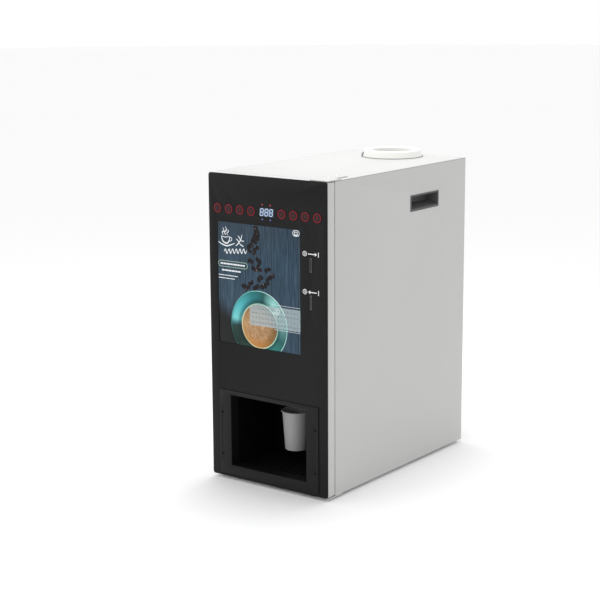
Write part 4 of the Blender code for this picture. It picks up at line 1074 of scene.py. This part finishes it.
lock_steel = finish("nickel_plated_steel", "#b7b4ab", 0.28, grain=0.6, depth=0.002, metallic=1.0)
key_slot_shade = finish("key_slot_painted_shade", "#0a0a0a", 0.7, grain=0.5, depth=0.002)
LOCK_Y, LOCK_Z = 60.0, 600.0
plug = turned([(0, 0.15), (4.3, 0.15), (5.0, 0.8), (5.0, 22.9), (0, 22.9)], (-171.0, LOCK_Y, LOCK_Z), "x",
              40)
cam = block((-151.0, -149.0), (LOCK_Y - 21, LOCK_Y + 6), (LOCK_Z - 6, LOCK_Z + 6))
nut = prism(circle(LOCK_Y, LOCK_Z, 5.2, steps=6), "x", -149.2, -147.0)
made = eased(made_of("lock_plug_and_cam", (lock_steel, plug, cam, nut)), 0.3)
shown(made, "lock_cam", "lock_cam", slot="zinc_steel")
# The key slot is a thin black block on the plug's face: painted shade standing for the slot's depth.
shown(made_of("lock_key_slot",
              (key_slot_shade,
               block((-170.98, -170.7), (LOCK_Y - 0.6, LOCK_Y + 0.6), (LOCK_Z - 3, LOCK_Z + 3)))),
      "lock_cam")
escutcheon = turned([(5.4, -170.9), (8.6, -170.9), (9.6, -170.5), (10.0, -170.0), (5.4, -170.0)],
                    (0, LOCK_Y, LOCK_Z),
                    "x", 48)
barrel = turned([(5.4, -168.3), (8.6, -168.3), (8.6, -153.0), (5.4, -153.0)], (0, LOCK_Y, LOCK_Z), "x", 40)
shown(smooth(made_of("lock_barrel", (lock_steel, escutcheon, barrel)), 40), "cabinet")

# --- Door inside ------------------------------------------------------------------------------------
# Behind the face: a foam seal, a white steel light box over the poster, the button board with a switch
# behind each cap, and the coin acceptor over its sliding steel cash box.

foam_rubber = finish("foam_rubber_seal", "#161616", 0.9, grain=0.9, depth=0.08)
refined("door_seal", "door_seal_foam", "door", foam_rubber, 0.6, "black_rubber")

white_steel = finish("white_painted_steel", "#d8d8d4", 0.45, grain=1.5, depth=0.01)
folds = [(5.1, 343), (22, 343), (24.5, 346), (24.5, 616), (22, 619), (5.1, 619)]
light_box = prism(folds, "x", -138.0, 90.0)
shown(eased(made_of("light_box", (white_steel, light_box)), 1.0, 3), "door")
# The vent slots are thin black blocks on the box's back: painted shade standing for open slots.
vents = [block((-60 + 14 * step, -52 + 14 * step), (24.4, 24.7), (598, 600)) for step in range(8)]
vent_painted_shade = finish("vent_painted_shade", "#0c0c0c", 0.8, grain=1, depth=0.002)
shown(made_of("light_box_vents", (vent_painted_shade, *vents)), "door")
screws("light_box_screws", "door", ZINC_SCREWS, BACK,
       [(x, 24.5, z) for x in (-130, 82) for z in (352, 481, 610)], 3.0, 1.6)

board_green = finish("green_solder_mask", "#1c5a36", 0.35, grain=2.2, depth=0.01, tint="#17492c")
black_chip = finish("black_epoxy", "#171717", 0.5, grain=0.6, depth=0.004)
white_nylon = finish("white_nylon_connector", "#d9d6cc", 0.5, grain=0.6, depth=0.004)
tin = finish("tinned_terminal", "#c3c5c7", 0.3, grain=0.5, depth=0.002, metallic=1.0)
red_wire = finish("red_pvc_wire", "#9c1c1c", 0.4, grain=0.8, depth=0.002)
black_wire = finish("black_pvc_wire", "#161616", 0.4, grain=0.8, depth=0.002)
blue_wire = finish("blue_pvc_wire", "#1f3f8c", 0.4, grain=0.8, depth=0.002)
grey_cable = finish("grey_ribbon_cable", "#8b8d90", 0.5, grain=1.27, depth=0.02)
refined("button_board", "button_board_laminate", "door", board_green, 0.1, "circuit_board")
switches = [block((x - 3, x + 3), (13.55, 15.2), (653.4, 659.4)) for x in BUTTON_PLACES]
resistors = [block((x + 12, x + 15.2), (13.55, 14.3), (648 + 3 * (i % 3), 649.6 + 3 * (i % 3)))
             for i, x in enumerate(BUTTON_PLACES) if x < 140]
plug_block = [block((-96, -60), (13.5, 22), (664, 670)), block((60, 84), (13.5, 20), (643, 649))]
joints_tin = [rod((x + dx, 13.5, 656.4 + dz), 0.8, 0.6, "y", 0.4, 10) for x in BUTTON_PLACES
              for dx, dz in ((-4.5, -3.2), (-4.5, 3.2), (4.5, -3.2), (4.5, 3.2))]
chips = [block((-14, 6), (13.5, 16.0), (648, 662)), block((14, 22), (13.5, 15.4), (650, 658))]
shown(made_of("button_board_parts", (black_chip, *switches, *chips, *resistors), (white_nylon, *plug_block),
              (tin, *joints_tin)), "door")
screws("button_board_screws", "door", ZINC_SCREWS, BACK,
       [(x, 13.6, z) for x in (-150, 150) for z in (644.5, 668.5)], 2.4, 1.2)

grey_abs = finish("moulded_grey_abs_case", "#6f7175", 0.5, grain=1.0, depth=0.02)
refined("coin_acceptor", "coin_acceptor_moulded", "door", grey_abs, 0.6, "grey_plastic")
lever = [hose([(104, 66, 552), (104, 69, 546), (104, 69, 522), (104, 66.5, 516)], 1.4, 8, 4)]
ribs = [block((99.6, 150.4), (63.9, 64.7), (448 + 5 * step, 449.6 + 5 * step)) for step in range(4)]
cover = [block((109, 141), (71.9, 73.0), (474, 536))]
shown(eased(made_of("coin_acceptor_parts", (black_chip, *cover), (tin, *lever), (grey_abs, *ribs)), 0.25),
      "door")
screws("coin_acceptor_screws", "door", ZINC_SCREWS, BACK,
       [(x, 64.0, z) for x in (103, 147) for z in (444, 568)], 2.4, 1.2)
shown(made_of("coin_acceptor_wires",
              (black_wire, hose([(120, 66, 572), (122, 40, 592), (118, 22, 618), (88, 17, 640),
                                                        (72, 17, 646)], 1.3)),
              (red_wire,
               hose([(126, 66, 572), (126, 42, 594), (122, 25, 620), (92, 20, 642), (76, 17, 646)], 1.3))),
               "door")

zinc_sheet = finish("zinc_plated_sheet", "#a9adb1", 0.36, grain=7, depth=0.004, metallic=1.0,
                    tint="#8f9498")
refined("cash_box", "cash_box_folded", "cash_box", zinc_sheet, 0.4, "zinc_steel")
pull = hose([(112, 71.6, 310), (112, 80, 312), (116, 84, 314), (134, 84, 314), (138, 80, 312),
             (138, 71.6, 310)], 1.6, 10)
shown(smooth(made_of("cash_box_pull", (tin, pull)), 60), "cash_box")

# --- Canisters --------------------------------------------------------------------------------------
# Three clear polycarbonate powder canisters on the chassis shelf under one white lid, filled with
# coffee, creamer and chocolate. A nylon auger in each turns the powder out of a spout at the front.

clear_pc = finish("clear_polycarbonate", "#dfe6e8", 0.12, grain=8, depth=0.01, spread=0.02, Alpha=0.14,
                  IOR=1.58)
FRONT_Y, BACK_Y, CANISTER_HALF = 168.0, 330.0, 46.0
CANISTER_X = (-104.0, 0.0, 104.0)
random.seed(4)


def heap(x, low, high):
    """Powder settled between a canister's walls, hollowed along the middle over the auger."""
    half, front, back, across, along = CANISTER_HALF - 2.3, FRONT_Y + 2.3, BACK_Y - 2.3, 12, 18
    shape = bmesh.new()
    top = []
    for i in range(across + 1):
        u = -1 + 2 * i / across
        top.append([shape.verts.new((x + u * half, front + (back - front) * j / along,
                                     high + 9 * abs(u) + 5 * math.sin(j * 0.7 + x)
                                     + random.uniform(-1.5, 1.5)))
                    for j in range(along + 1)])
    for i in range(across):
        for j in range(along):
            shape.faces.new((top[i][j], top[i + 1][j], top[i + 1][j + 1], top[i][j + 1]))
    edge = [row[0] for row in top] + top[-1][1:] + [row[-1] for row in top[-2::-1]] + top[0][-2:0:-1]
    base = [shape.verts.new((v.co.x, v.co.y, low)) for v in edge]
    for k in range(len(edge)):
        n = (k + 1) % len(edge)
        shape.faces.new((edge[k], base[k], base[n], edge[n]))
    shape.faces.new(base)
    bmesh.ops.recalc_face_normals(shape, faces=shape.faces)
    return shape


powders = (finish("coffee_powder", "#3a2014", 0.9, grain=1.6, depth=0.6, tint="#24140c"),
           finish("creamer_powder", "#e6dfcf", 0.9, grain=1.2, depth=0.5, tint="#d8cfba"),
           finish("chocolate_powder", "#6b432a", 0.9, grain=1.3, depth=0.5, tint="#54331f"))
LEVELS = (586.0, 560.0, 600.0)
label_paper = finish("white_paper_label", "#e4e2da", 0.7, grain=0.5, depth=0.003)
auger_nylon = finish("white_nylon", "#d4d3cc", 0.45, grain=1.0, depth=0.01)
for number, (x, powder, level) in enumerate(zip(CANISTER_X, powders, LEVELS), 1):
    refined(f"powder_canister_{number}", f"canister_{number}_clear", "cabinet", clear_pc, 0.7,
            "clear_plastic")
    shown(made_of(f"canister_{number}_powder", (powder, heap(x, 479.5, level))), "cabinet")
    tag = prism(circle(x, 545, 15, steps=40), "y", FRONT_Y - 0.3, FRONT_Y - 0.1)
    shown(made_of(f"canister_{number}_label", (label_paper, tag),
                  (ink, numeral(number, x, 545, 20, FRONT_Y - 0.32))), "cabinet")
    refined(f"auger_{number}", f"auger_{number}_moulded", f"auger_{number}", auger_nylon, 0.3,
            "white_plastic")
    collar = ring((x, 0, 462.0), 19.05, 21.0, "y", 150.2, 153.4, 40)
    shown(smooth(made_of(f"canister_{number}_collar", (auger_nylon, collar))), "cabinet")
refined("canister_lid", "canister_lid_moulded", "canister_lid", white_abs, 0.8, "white_plastic")
lid_ribs = [block((x - 30, x + 30), (196 + 26 * step, 199 + 26 * step), (641.9, 643.6)) for x in CANISTER_X
            for step in range(5)]
tabs = [block((x - 12, x + 12), (161.5, 166.2), (636.0, 641.5)) for x in CANISTER_X]
shown(eased(made_of("canister_lid_ribs", (white_abs, *lid_ribs, *tabs)), 0.5), "canister_lid")

# --- Chassis ----------------------------------------------------------------------------------------
# A zinc-plated bulkhead across the cabinet with the canister shelf folded into it, and the three auger
# gearmotors on its back: die-cast gearboxes with plated steel motor cans.

refined("chassis_plate", "chassis_plate_plated", "cabinet", zinc_sheet, 0.3, "zinc_steel")
screws("chassis_screws", "cabinet", ZINC_SCREWS, FRONT,
       [(x, 344.0, z) for x in (-160, 160) for z in (30, 220, 400, 690)])

gear_alloy = finish("die_cast_gearbox_alloy", "#8e9194", 0.42, grain=1.2, depth=0.02, metallic=0.9)
can_steel = finish("plated_motor_can", "#b3b5b7", 0.25, grain=0.6, depth=0.002, metallic=1.0)
MOTOR_Y, AUGER_Z = 345.8, 462.0


def motor_can(x, y, z, radius, length):
    """A drawn motor can along y with crimped ends, a rear bearing boss and two terminals."""
    r = radius
    return [turned([(0, 0), (r - 0.6, 0), (r, 0.6), (r, 4), (r - 0.5, 4.6), (r - 0.5, length - 6),
                    (r, length - 5.4),
                    (r, length - 1.2), (r - 1.2, length), (r * 0.5, length), (r * 0.42, length + 1.6),
                    (0, length + 1.6)],
                   (x, y, z), "y", 48)] + \
        [block((x + side * r * 0.6 - 1.4, x + side * r * 0.6 + 1.4), (y + length - 1, y + length + 5),
               (z - 0.4, z + 0.4))
         for side in (-1, 1)]


strip = block((-140, 140), (MOTOR_Y, MOTOR_Y + 3), (AUGER_Z - 30, AUGER_Z - 10))
gear_cases, cans = [], []
for x in CANISTER_X:
    gear_cases.append(turned([(4.8, 0), (22.5, 0), (23.8, 1.2), (23.8, 12.8), (22.6, 14), (4.8, 14)],
                             (x, MOTOR_Y, AUGER_Z), "y", 8))
    gear_cases += [rod((x + sx * 18, MOTOR_Y + 0.2, AUGER_Z + sz * 18), 4.2, 13.2, "y", sides=20)
                   for sx in (-1, 1) for sz in (-1, 1)]
    cans += motor_can(x, MOTOR_Y + 13.8, AUGER_Z, 18.5, 24.5)
shown(eased(made_of("auger_motors_fitted", (zinc_sheet, strip), (gear_alloy, *gear_cases),
                    (can_steel, *cans)), 0.3),
      "cabinet", "auger_motors", slot="zinc_steel")
screws("gearbox_screws", "cabinet", ZINC_SCREWS, BACK,
       [(x + sx * 18, MOTOR_Y + 13.4, AUGER_Z + sz * 18) for x in CANISTER_X for sx in (-1, 1)
        for sz in (-1, 1)], 2.6, 1.2)

# --- Mixing bowl ------------------------------------------------------------------------------------
# A white funnel under the spouts leads into the bowl, where a whipper on a plated motor mixes powder
# with hot water. Two silicone hoses carry the drink down into the bay.

refined("mixing_bowl", "mixing_bowl_moulded", "cabinet", white_abs, 0.6, "white_plastic")
refined("whipper_impeller", "whipper_impeller_moulded", "whipper", auger_nylon, 0.4, "white_plastic")
WHIP_Y, WHIP_Z = 236.0, 316.0
bracket = [block((-26, 26), (WHIP_Y, WHIP_Y + 3), (WHIP_Z - 26, WHIP_Z + 26)),
           block((-26, 26), (WHIP_Y, 343.7), (WHIP_Z - 29, WHIP_Z - 26)),
           block((-26, 26), (340.7, 343.7), (WHIP_Z - 44, WHIP_Z - 26))]
whip_can = motor_can(0, WHIP_Y + 2.8, WHIP_Z, 19.0, 46.0)
shown(eased(made_of("whipper_motor_fitted", (zinc_sheet, *bracket), (can_steel, *whip_can)), 0.4),
      "cabinet",
      "whipper_motor", slot="zinc_steel")
screws("whipper_screws", "cabinet", ZINC_SCREWS, FRONT,
       [(x, WHIP_Y, z) for x in (-21, 21) for z in (295, 337)], 2.6, 1.2)
silicone = finish("clear_silicone_hose", "#cfd3d0", 0.35, grain=3, depth=0.01, Alpha=0.72)
drink_hoses = [hose([(side * 9, 188, 292.5), (side * 10, 187, 270), (side * 12, 172, 240),
                     (side * 12, 156.5, 222),
                     (side * 12, 156, 206)], 5.0, 16) for side in (-1, 1)]
clamps = [turned([(5.1, 0), (6.2, 0), (6.2, 4), (5.1, 4)], (side * 9.2, 188, 280), sides=32)
          for side in (-1, 1)]
shown(smooth(made_of("drink_hoses", (silicone, *drink_hoses), (tin, *clamps)), 60), "cabinet")

# --- Cup magazine -----------------------------------------------------------------------------------
# A clear tube of nested paper cups over the bay, with the toothed nylon ring that turns to let one down.
# The stack stands clear above the ring, whose cams are not modelled.

refined("cup_magazine", "cup_magazine_clear", "cabinet", clear_pc, 0.5, "clear_plastic")
refined("cup_drop_ring", "cup_drop_ring_moulded", "cup_drop_ring", auger_nylon, 0.3, "white_plastic")
white_board = finish("white_paper_board", "#dcdcd8", 0.65, grain=0.35, depth=0.01)
STACK_LOW, STACK_PITCH, STACK_COUNT = 336.0, 7.2, 42


def stack_tree(coat):
    """Count nested cup rims a Pitch apart above each point, Radius wide, each on a band of its wall."""
    tree, given = tree_with("nested_cups", Count=12, Pitch=7.0 * MM, Radius=34.0 * MM, Bead=1.4 * MM)
    bead = add(tree, "GeometryNodeCurvePrimitiveCircle", {"Resolution": 8, "Radius": given["Bead"]})
    hoop = add(tree, "GeometryNodeCurvePrimitiveCircle", {"Resolution": 36, "Radius": given["Radius"]})
    rim = add(tree, "GeometryNodeCurveToMesh", {"Curve": hoop.outputs[0], "Profile Curve": bead.outputs[0]})
    skirt = add(tree, "GeometryNodeMeshCylinder", {"Vertices": 36, "Depth": given["Pitch"], "Radius":
                                                   calc(tree, "SUBTRACT", given["Radius"], given["Bead"])})
    lowered = add(tree, "GeometryNodeTransform", {"Geometry": skirt.outputs[0], "Translation":
                                                  vector(tree, z=times(tree, given["Pitch"], -0.5))})
    cup = add(tree, "GeometryNodeJoinGeometry", {0: rim.outputs[0]})
    tree.links.new(lowered.outputs[0], cup.inputs[0])
    line = add(tree, "GeometryNodeMeshLine",
               {"Count": given["Count"], "Offset": vector(tree, z=given["Pitch"])})
    column = add(tree, "GeometryNodeInstanceOnPoints",
                 {"Points": line.outputs[0], "Instance": cup.outputs[0]})
    return end_tree(tree, given, column, coat)


stack = grown("cup_stack", stack_tree(white_board), white_board, [(CUP_X, CUP_Y, STACK_LOW)],
              Count=STACK_COUNT, Pitch=STACK_PITCH * MM, Radius=34.3 * MM, Bead=1.4 * MM)
shown(smooth(stack, 50), "cabinet")
lowest = turned([(0, 242), (26.0, 242), (26.5, 242.5), (32.8, STACK_LOW - 7.4), (0, STACK_LOW - 7.4)],
                (CUP_X, CUP_Y, 0))
shown(smooth(made_of("cup_stack_lowest", (white_board, lowest)), 40), "cabinet")

# --- Water ------------------------------------------------------------------------------------------
# A clear tank under the bottle seat feeds a vibratory pump, which fills a stainless boiler on four
# legs. The boiler has a clamp band, thermostats, heater terminals and silicone hoses; its outlet passes
# the bulkhead through a brass fitting and ends over the funnel.

refined("water_tank", "water_tank_clear", "cabinet", clear_pc, 0.8, "clear_plastic")
water = finish("clear_water", "#b7d3de", 0.05, grain=30, depth=0.05, spread=0.01, Alpha=0.3, IOR=1.33)
shown(smooth(made_of("tank_water", (water, rod((2.0, 513.0, 569.2), 59.0, 118, sides=64)))), "cabinet")

stainless = finish("drawn_stainless_steel", "#b9bbbc", 0.26, grain=0.8, depth=0.004, metallic=1.0,
                   stretch=(1, 1, 12))
BOILER_Y = 470.0
drum = turned([(0, 250), (60.5, 250), (62, 251.5), (62, 398.5), (60.5, 400), (50.5, 400), (49.5, 407),
               (48, 408),
               (0, 408)], (0, BOILER_Y, 0), sides=96)
stubs = [turned([(4, 407), (6, 407), (6, 416), (7, 417), (6, 419), (7, 420.5), (5.2, 424), (4, 424)],
                (x, BOILER_Y, 0), sides=32)
         for x in (-30, 30)]
legs = [rod((x, BOILER_Y + y, 9.8), 5.0, 242, sides=20) for x in (-46, 46) for y in (-46, 46)]
band = ring((0, BOILER_Y, 0), 61.9, 63.2, "z", 316, 328, 96)
clasp = [block((-9, 9), (BOILER_Y - 70, BOILER_Y - 62), (317, 327)),
         rod((-13, BOILER_Y - 67, 322), 2.2, 26, "x", sides=16)]
made = smooth(made_of("boiler_drum", (stainless, drum, *stubs, *legs), (tin, band, *clasp)), 40)
shown(made, "cabinet", "boiler", slot="stainless_steel")
thermostat = [turned([(0, 0), (8, 0), (8, 3), (6, 3.4), (6, 8), (0, 8)], (18, BOILER_Y + 10, 408),
                     sides=32),
              turned([(0, 0), (8, 0), (8, 3), (6, 3.4), (6, 8), (0, 8)], (-14, BOILER_Y - 16, 408),
                     sides=32)]
terminals = [block((18 + d, 19 + d), (BOILER_Y + 8, BOILER_Y + 12), (415, 423)) for d in (-4, 3)] + \
    [rod((x, BOILER_Y + 30, 407.5), 3, 12, sides=6) for x in (-10, 6)]
ceramic = finish("white_ceramic", "#dddbd3", 0.35, grain=1, depth=0.003)
beads = [rod((x, BOILER_Y + 30, 407.5), 6, 6, end_radius=5, sides=24) for x in (-10, 6)]
shown(smooth(made_of("boiler_fittings", (black_chip, *thermostat), (tin, *terminals), (ceramic, *beads)),
             40), "cabinet")

pump_black = finish("moulded_glass_nylon", "#19191a", 0.5, grain=1.0, depth=0.02)
coil = turned([(0, 0), (21, 0), (22, 1.2), (22, 5), (20.5, 5.4), (20.5, 28.6), (22, 29), (22, 32.8),
               (21, 34), (9, 34),
               (9, 31), (0, 31)], (0, 450, 42), "x", 48)
pump_body = [block((-34, 6), (422, 478), (9.8, 14)), block((-30, 6), (428, 472), (13.9, 70))]
barbs = [rod((-18, 450, 69.5), 4.2, 9, end_radius=3.4, sides=24),
         rod((33.5, 450, 42), 4.2, 8, "x", 3.4, 24)]
shown(eased(made_of("water_pump_fitted", (pump_black, *pump_body, coil, barbs[0])), 0.8, 3), "cabinet",
      "water_pump",
      slot="black_plastic")
pump_coil = finish("copper_coil_wrap", "#7a3f22", 0.4, grain=0.5, depth=0.02, metallic=0.6,
                   stretch=(1, 0.1, 0.1))
shown(smooth(made_of("water_pump_coil", (pump_coil, ring((0, 450, 42), 20.4, 21.2, "x", 7, 27, 48)))),
      "cabinet")
water_hoses = [hose([(2, 513, 566.5), (2, 516, 552), (30, 540, 530), (66, 546, 440), (68, 530, 200),
                     (60, 480, 60),
                     (48, 452, 42.5), (37, 450, 42)], 4.4, 14),
               hose([(-18, 450, 76), (-18, 452, 100), (-40, 470, 130), (-66, 488, 220), (-68, 484, 380),
                     (-56, 474, 440),
                     (-36, 470, 440), (-30, 470, 421)], 4.4, 14),
               hose([(30, 470, 421), (31, 468, 440), (36, 440, 470), (42, 400, 520), (48, 384, 560),
                     (52, 372, 520),
                     (56, 372, 420), (56, 362, 384), (56, 350, 380)], 4.4, 14),
               hose([(56, 340, 380), (56, 324, 382), (54, 290, 406), (50, 256, 429), (48, 228, 431),
                     (46, 212, 420),
                     (46, 210, 408)], 4.4, 14)]
brass = finish("turned_brass", "#b08d4a", 0.3, grain=0.5, depth=0.002, metallic=1.0)
bulkhead = [turned([(0, 0), (8, 0), (8, side * 4), (5.4, side * 4.4), (5.4, side * 9), (0, side * 9)],
                   (56, face, 380), "y", 6) for side, face in ((1, 345.7), (-1, 343.8))]
shown(smooth(made_of("water_hoses", (silicone, *water_hoses), (brass, *bulkhead)), 60), "cabinet")

# --- Electrics --------------------------------------------------------------------------------------
# A vented power supply on the floor, the control board on the left wall and the wiring between them,
# the motors and the mains inlet.

PSU_X, PSU_Y = (88.0, 160.0), (400.0, 560.0)
case = [block(PSU_X, (PSU_Y[0] + 18, PSU_Y[1]), (9.8, 40)), block(PSU_X, PSU_Y, (9.8, 13)),
        block((PSU_X[0] + 4, PSU_X[1] - 4), (PSU_Y[0] + 3, PSU_Y[0] + 17), (12.9, 24))]
shown(eased(made_of("power_supply_case", (zinc_sheet, *case[:2]), (black_chip, case[2])), 0.5), "cabinet",
      "power_supply",
      slot="zinc_steel")
screws("power_supply_terminals", "cabinet", ZINC_SCREWS, UP,
       [(PSU_X[0] + 11 + 10 * i, PSU_Y[0] + 10, 24) for i in range(6)],
       2.8, 1.4)


def vent_tree(coat):
    """A thin dark disc, Radius wide, lying at each point: painted shade standing for round vent holes in a
    flat cover.
    """
    tree, given = tree_with("vent_holes", Radius=2.0 * MM, Depth=0.15 * MM)
    disc = add(tree, "GeometryNodeMeshCylinder",
               {"Vertices": 12, "Radius": given["Radius"], "Depth": given["Depth"]})
    return end_tree(tree, given, disc, coat)


holes = [(PSU_X[0] + 8 + 7 * i + 3.5 * (j % 2), PSU_Y[0] + 28 + 6.1 * j, 40.05) for i in range(8)
         for j in range(21)]
shown(grown("power_supply_vents", vent_tree(vent_painted_shade), vent_painted_shade, holes, Radius=2.2 * MM, Depth=0.15 * MM),
      "cabinet")

BOARD_FACE = -162.4
blue_relay = finish("blue_relay_case", "#1f4f9a", 0.4, grain=1, depth=0.003)
heat_sink = finish("black_anodised_aluminium", "#1a1b1c", 0.4, grain=0.8, depth=0.003, metallic=0.6)
shown(eased(made_of("control_board_laminate",
                    (board_green, block((-164.0, BOARD_FACE), (372, 560), (300, 560))),
                    (blue_relay,
                     *[block((BOARD_FACE - 0.1, -147.0), (402 + 21 * i, 418 + 21 * i), (342, 362))
                                   for i in range(2)],
                     *[block((BOARD_FACE - 0.1, -147.0), (402 + 21 * i, 418 + 21 * i), (366, 380))
                       for i in range(2)]),
                    (heat_sink,
                     *[block((BOARD_FACE - 0.1, -150.2), (462 + 6 * i, 464.5 + 6 * i), (481, 519))
                       for i in range(14)],
                     block((BOARD_FACE - 0.1, -160.2), (460, 545), (480, 520))),
                    (white_nylon,
                     *[block((BOARD_FACE - 0.1, -153.0), (391, 409), (422 + 24 * i, 440 + 24 * i))
                       for i in range(5)]),
                    (black_chip, block((BOARD_FACE - 0.1, -159.8), (440, 470), (430, 460)),
                     *[block((BOARD_FACE - 0.1, -160.4), (490 + 18 * i, 502 + 18 * i), (400, 408))
                       for i in range(3)],
                     *[block((BOARD_FACE - 0.1, -161.4), (430 + 7 * i, 433 + 7 * i),
                             (390 + 4 * (i % 3), 391.6 + 4 * (i % 3)))
                       for i in range(16)])), 0.25), "cabinet", "control_board", slot="circuit_board")
capacitors = [turned([(0, 0), (r - 0.5, 0), (r, 0.5), (r, h - 0.6), (r - 0.6, h), (0, h)],
                     (BOARD_FACE - 0.05, y, z), "x", 28)
              for y, z, r,
              h in ((520, 360, 8, 16), (500, 340, 5, 12), (520, 338, 5, 12), (480, 350, 6, 14),
                    (540, 345, 6, 13))]
can_blue = finish("blue_capacitor_sleeve", "#26365c", 0.35, grain=1, depth=0.002)
shown(smooth(made_of("control_board_capacitors", (can_blue, *capacitors)), 40), "cabinet")
screws("control_board_screws", "cabinet", ZINC_SCREWS, RIGHT,
       [(BOARD_FACE, y, z) for y in (378, 554) for z in (306, 554)],
       2.6, 1.4)

loom = [hose([(x + 11, 387, 462), (x + 8, 394, 480), (x - 10 if x > -100 else x, 396, 500),
              (-130, 392, 505),
              (-148, 398, 492 - 12 * i), (-152.5, 400, 480 - 24 * i)], 1.4, 8) for i,
              x in enumerate(CANISTER_X)]
return_loom = [hose([(x - 11, 387, 462), (x - 8, 396, 484), (x - 14 if x > -100 else x - 6, 399, 504),
                     (-128, 396, 509),
                     (-147, 401, 496 - 12 * i), (-152.5, 404, 484 - 24 * i)], 1.4, 8) for i,
                     x in enumerate(CANISTER_X)]
mains = [hose([(124, 568, 58), (124, 560, 52), (110, 545, 46), (86, 520, 44), (80, 430, 40), (92, 409, 28),
               (99, 409.5, 25.5)],
              2.0, 10),
         hose([(130, 568, 58), (131, 562, 50), (116, 548, 50), (84, 524, 48), (78, 428, 44), (100, 406, 30),
               (109, 409.5, 25.5)],
              2.0, 10)]
supply = [hose([(149, 409.5, 25.5), (150, 398, 34), (120, 384, 60), (0, 372, 150), (-120, 380, 260),
                (-150, 396, 400),
                (-153, 400, 428)], 2.0, 10)]
shown(smooth(made_of("wiring", (red_wire, *loom), (black_wire, *return_loom, mains[0]),
                     (blue_wire, mains[1]), (grey_cable, *supply)),
             60), "cabinet")
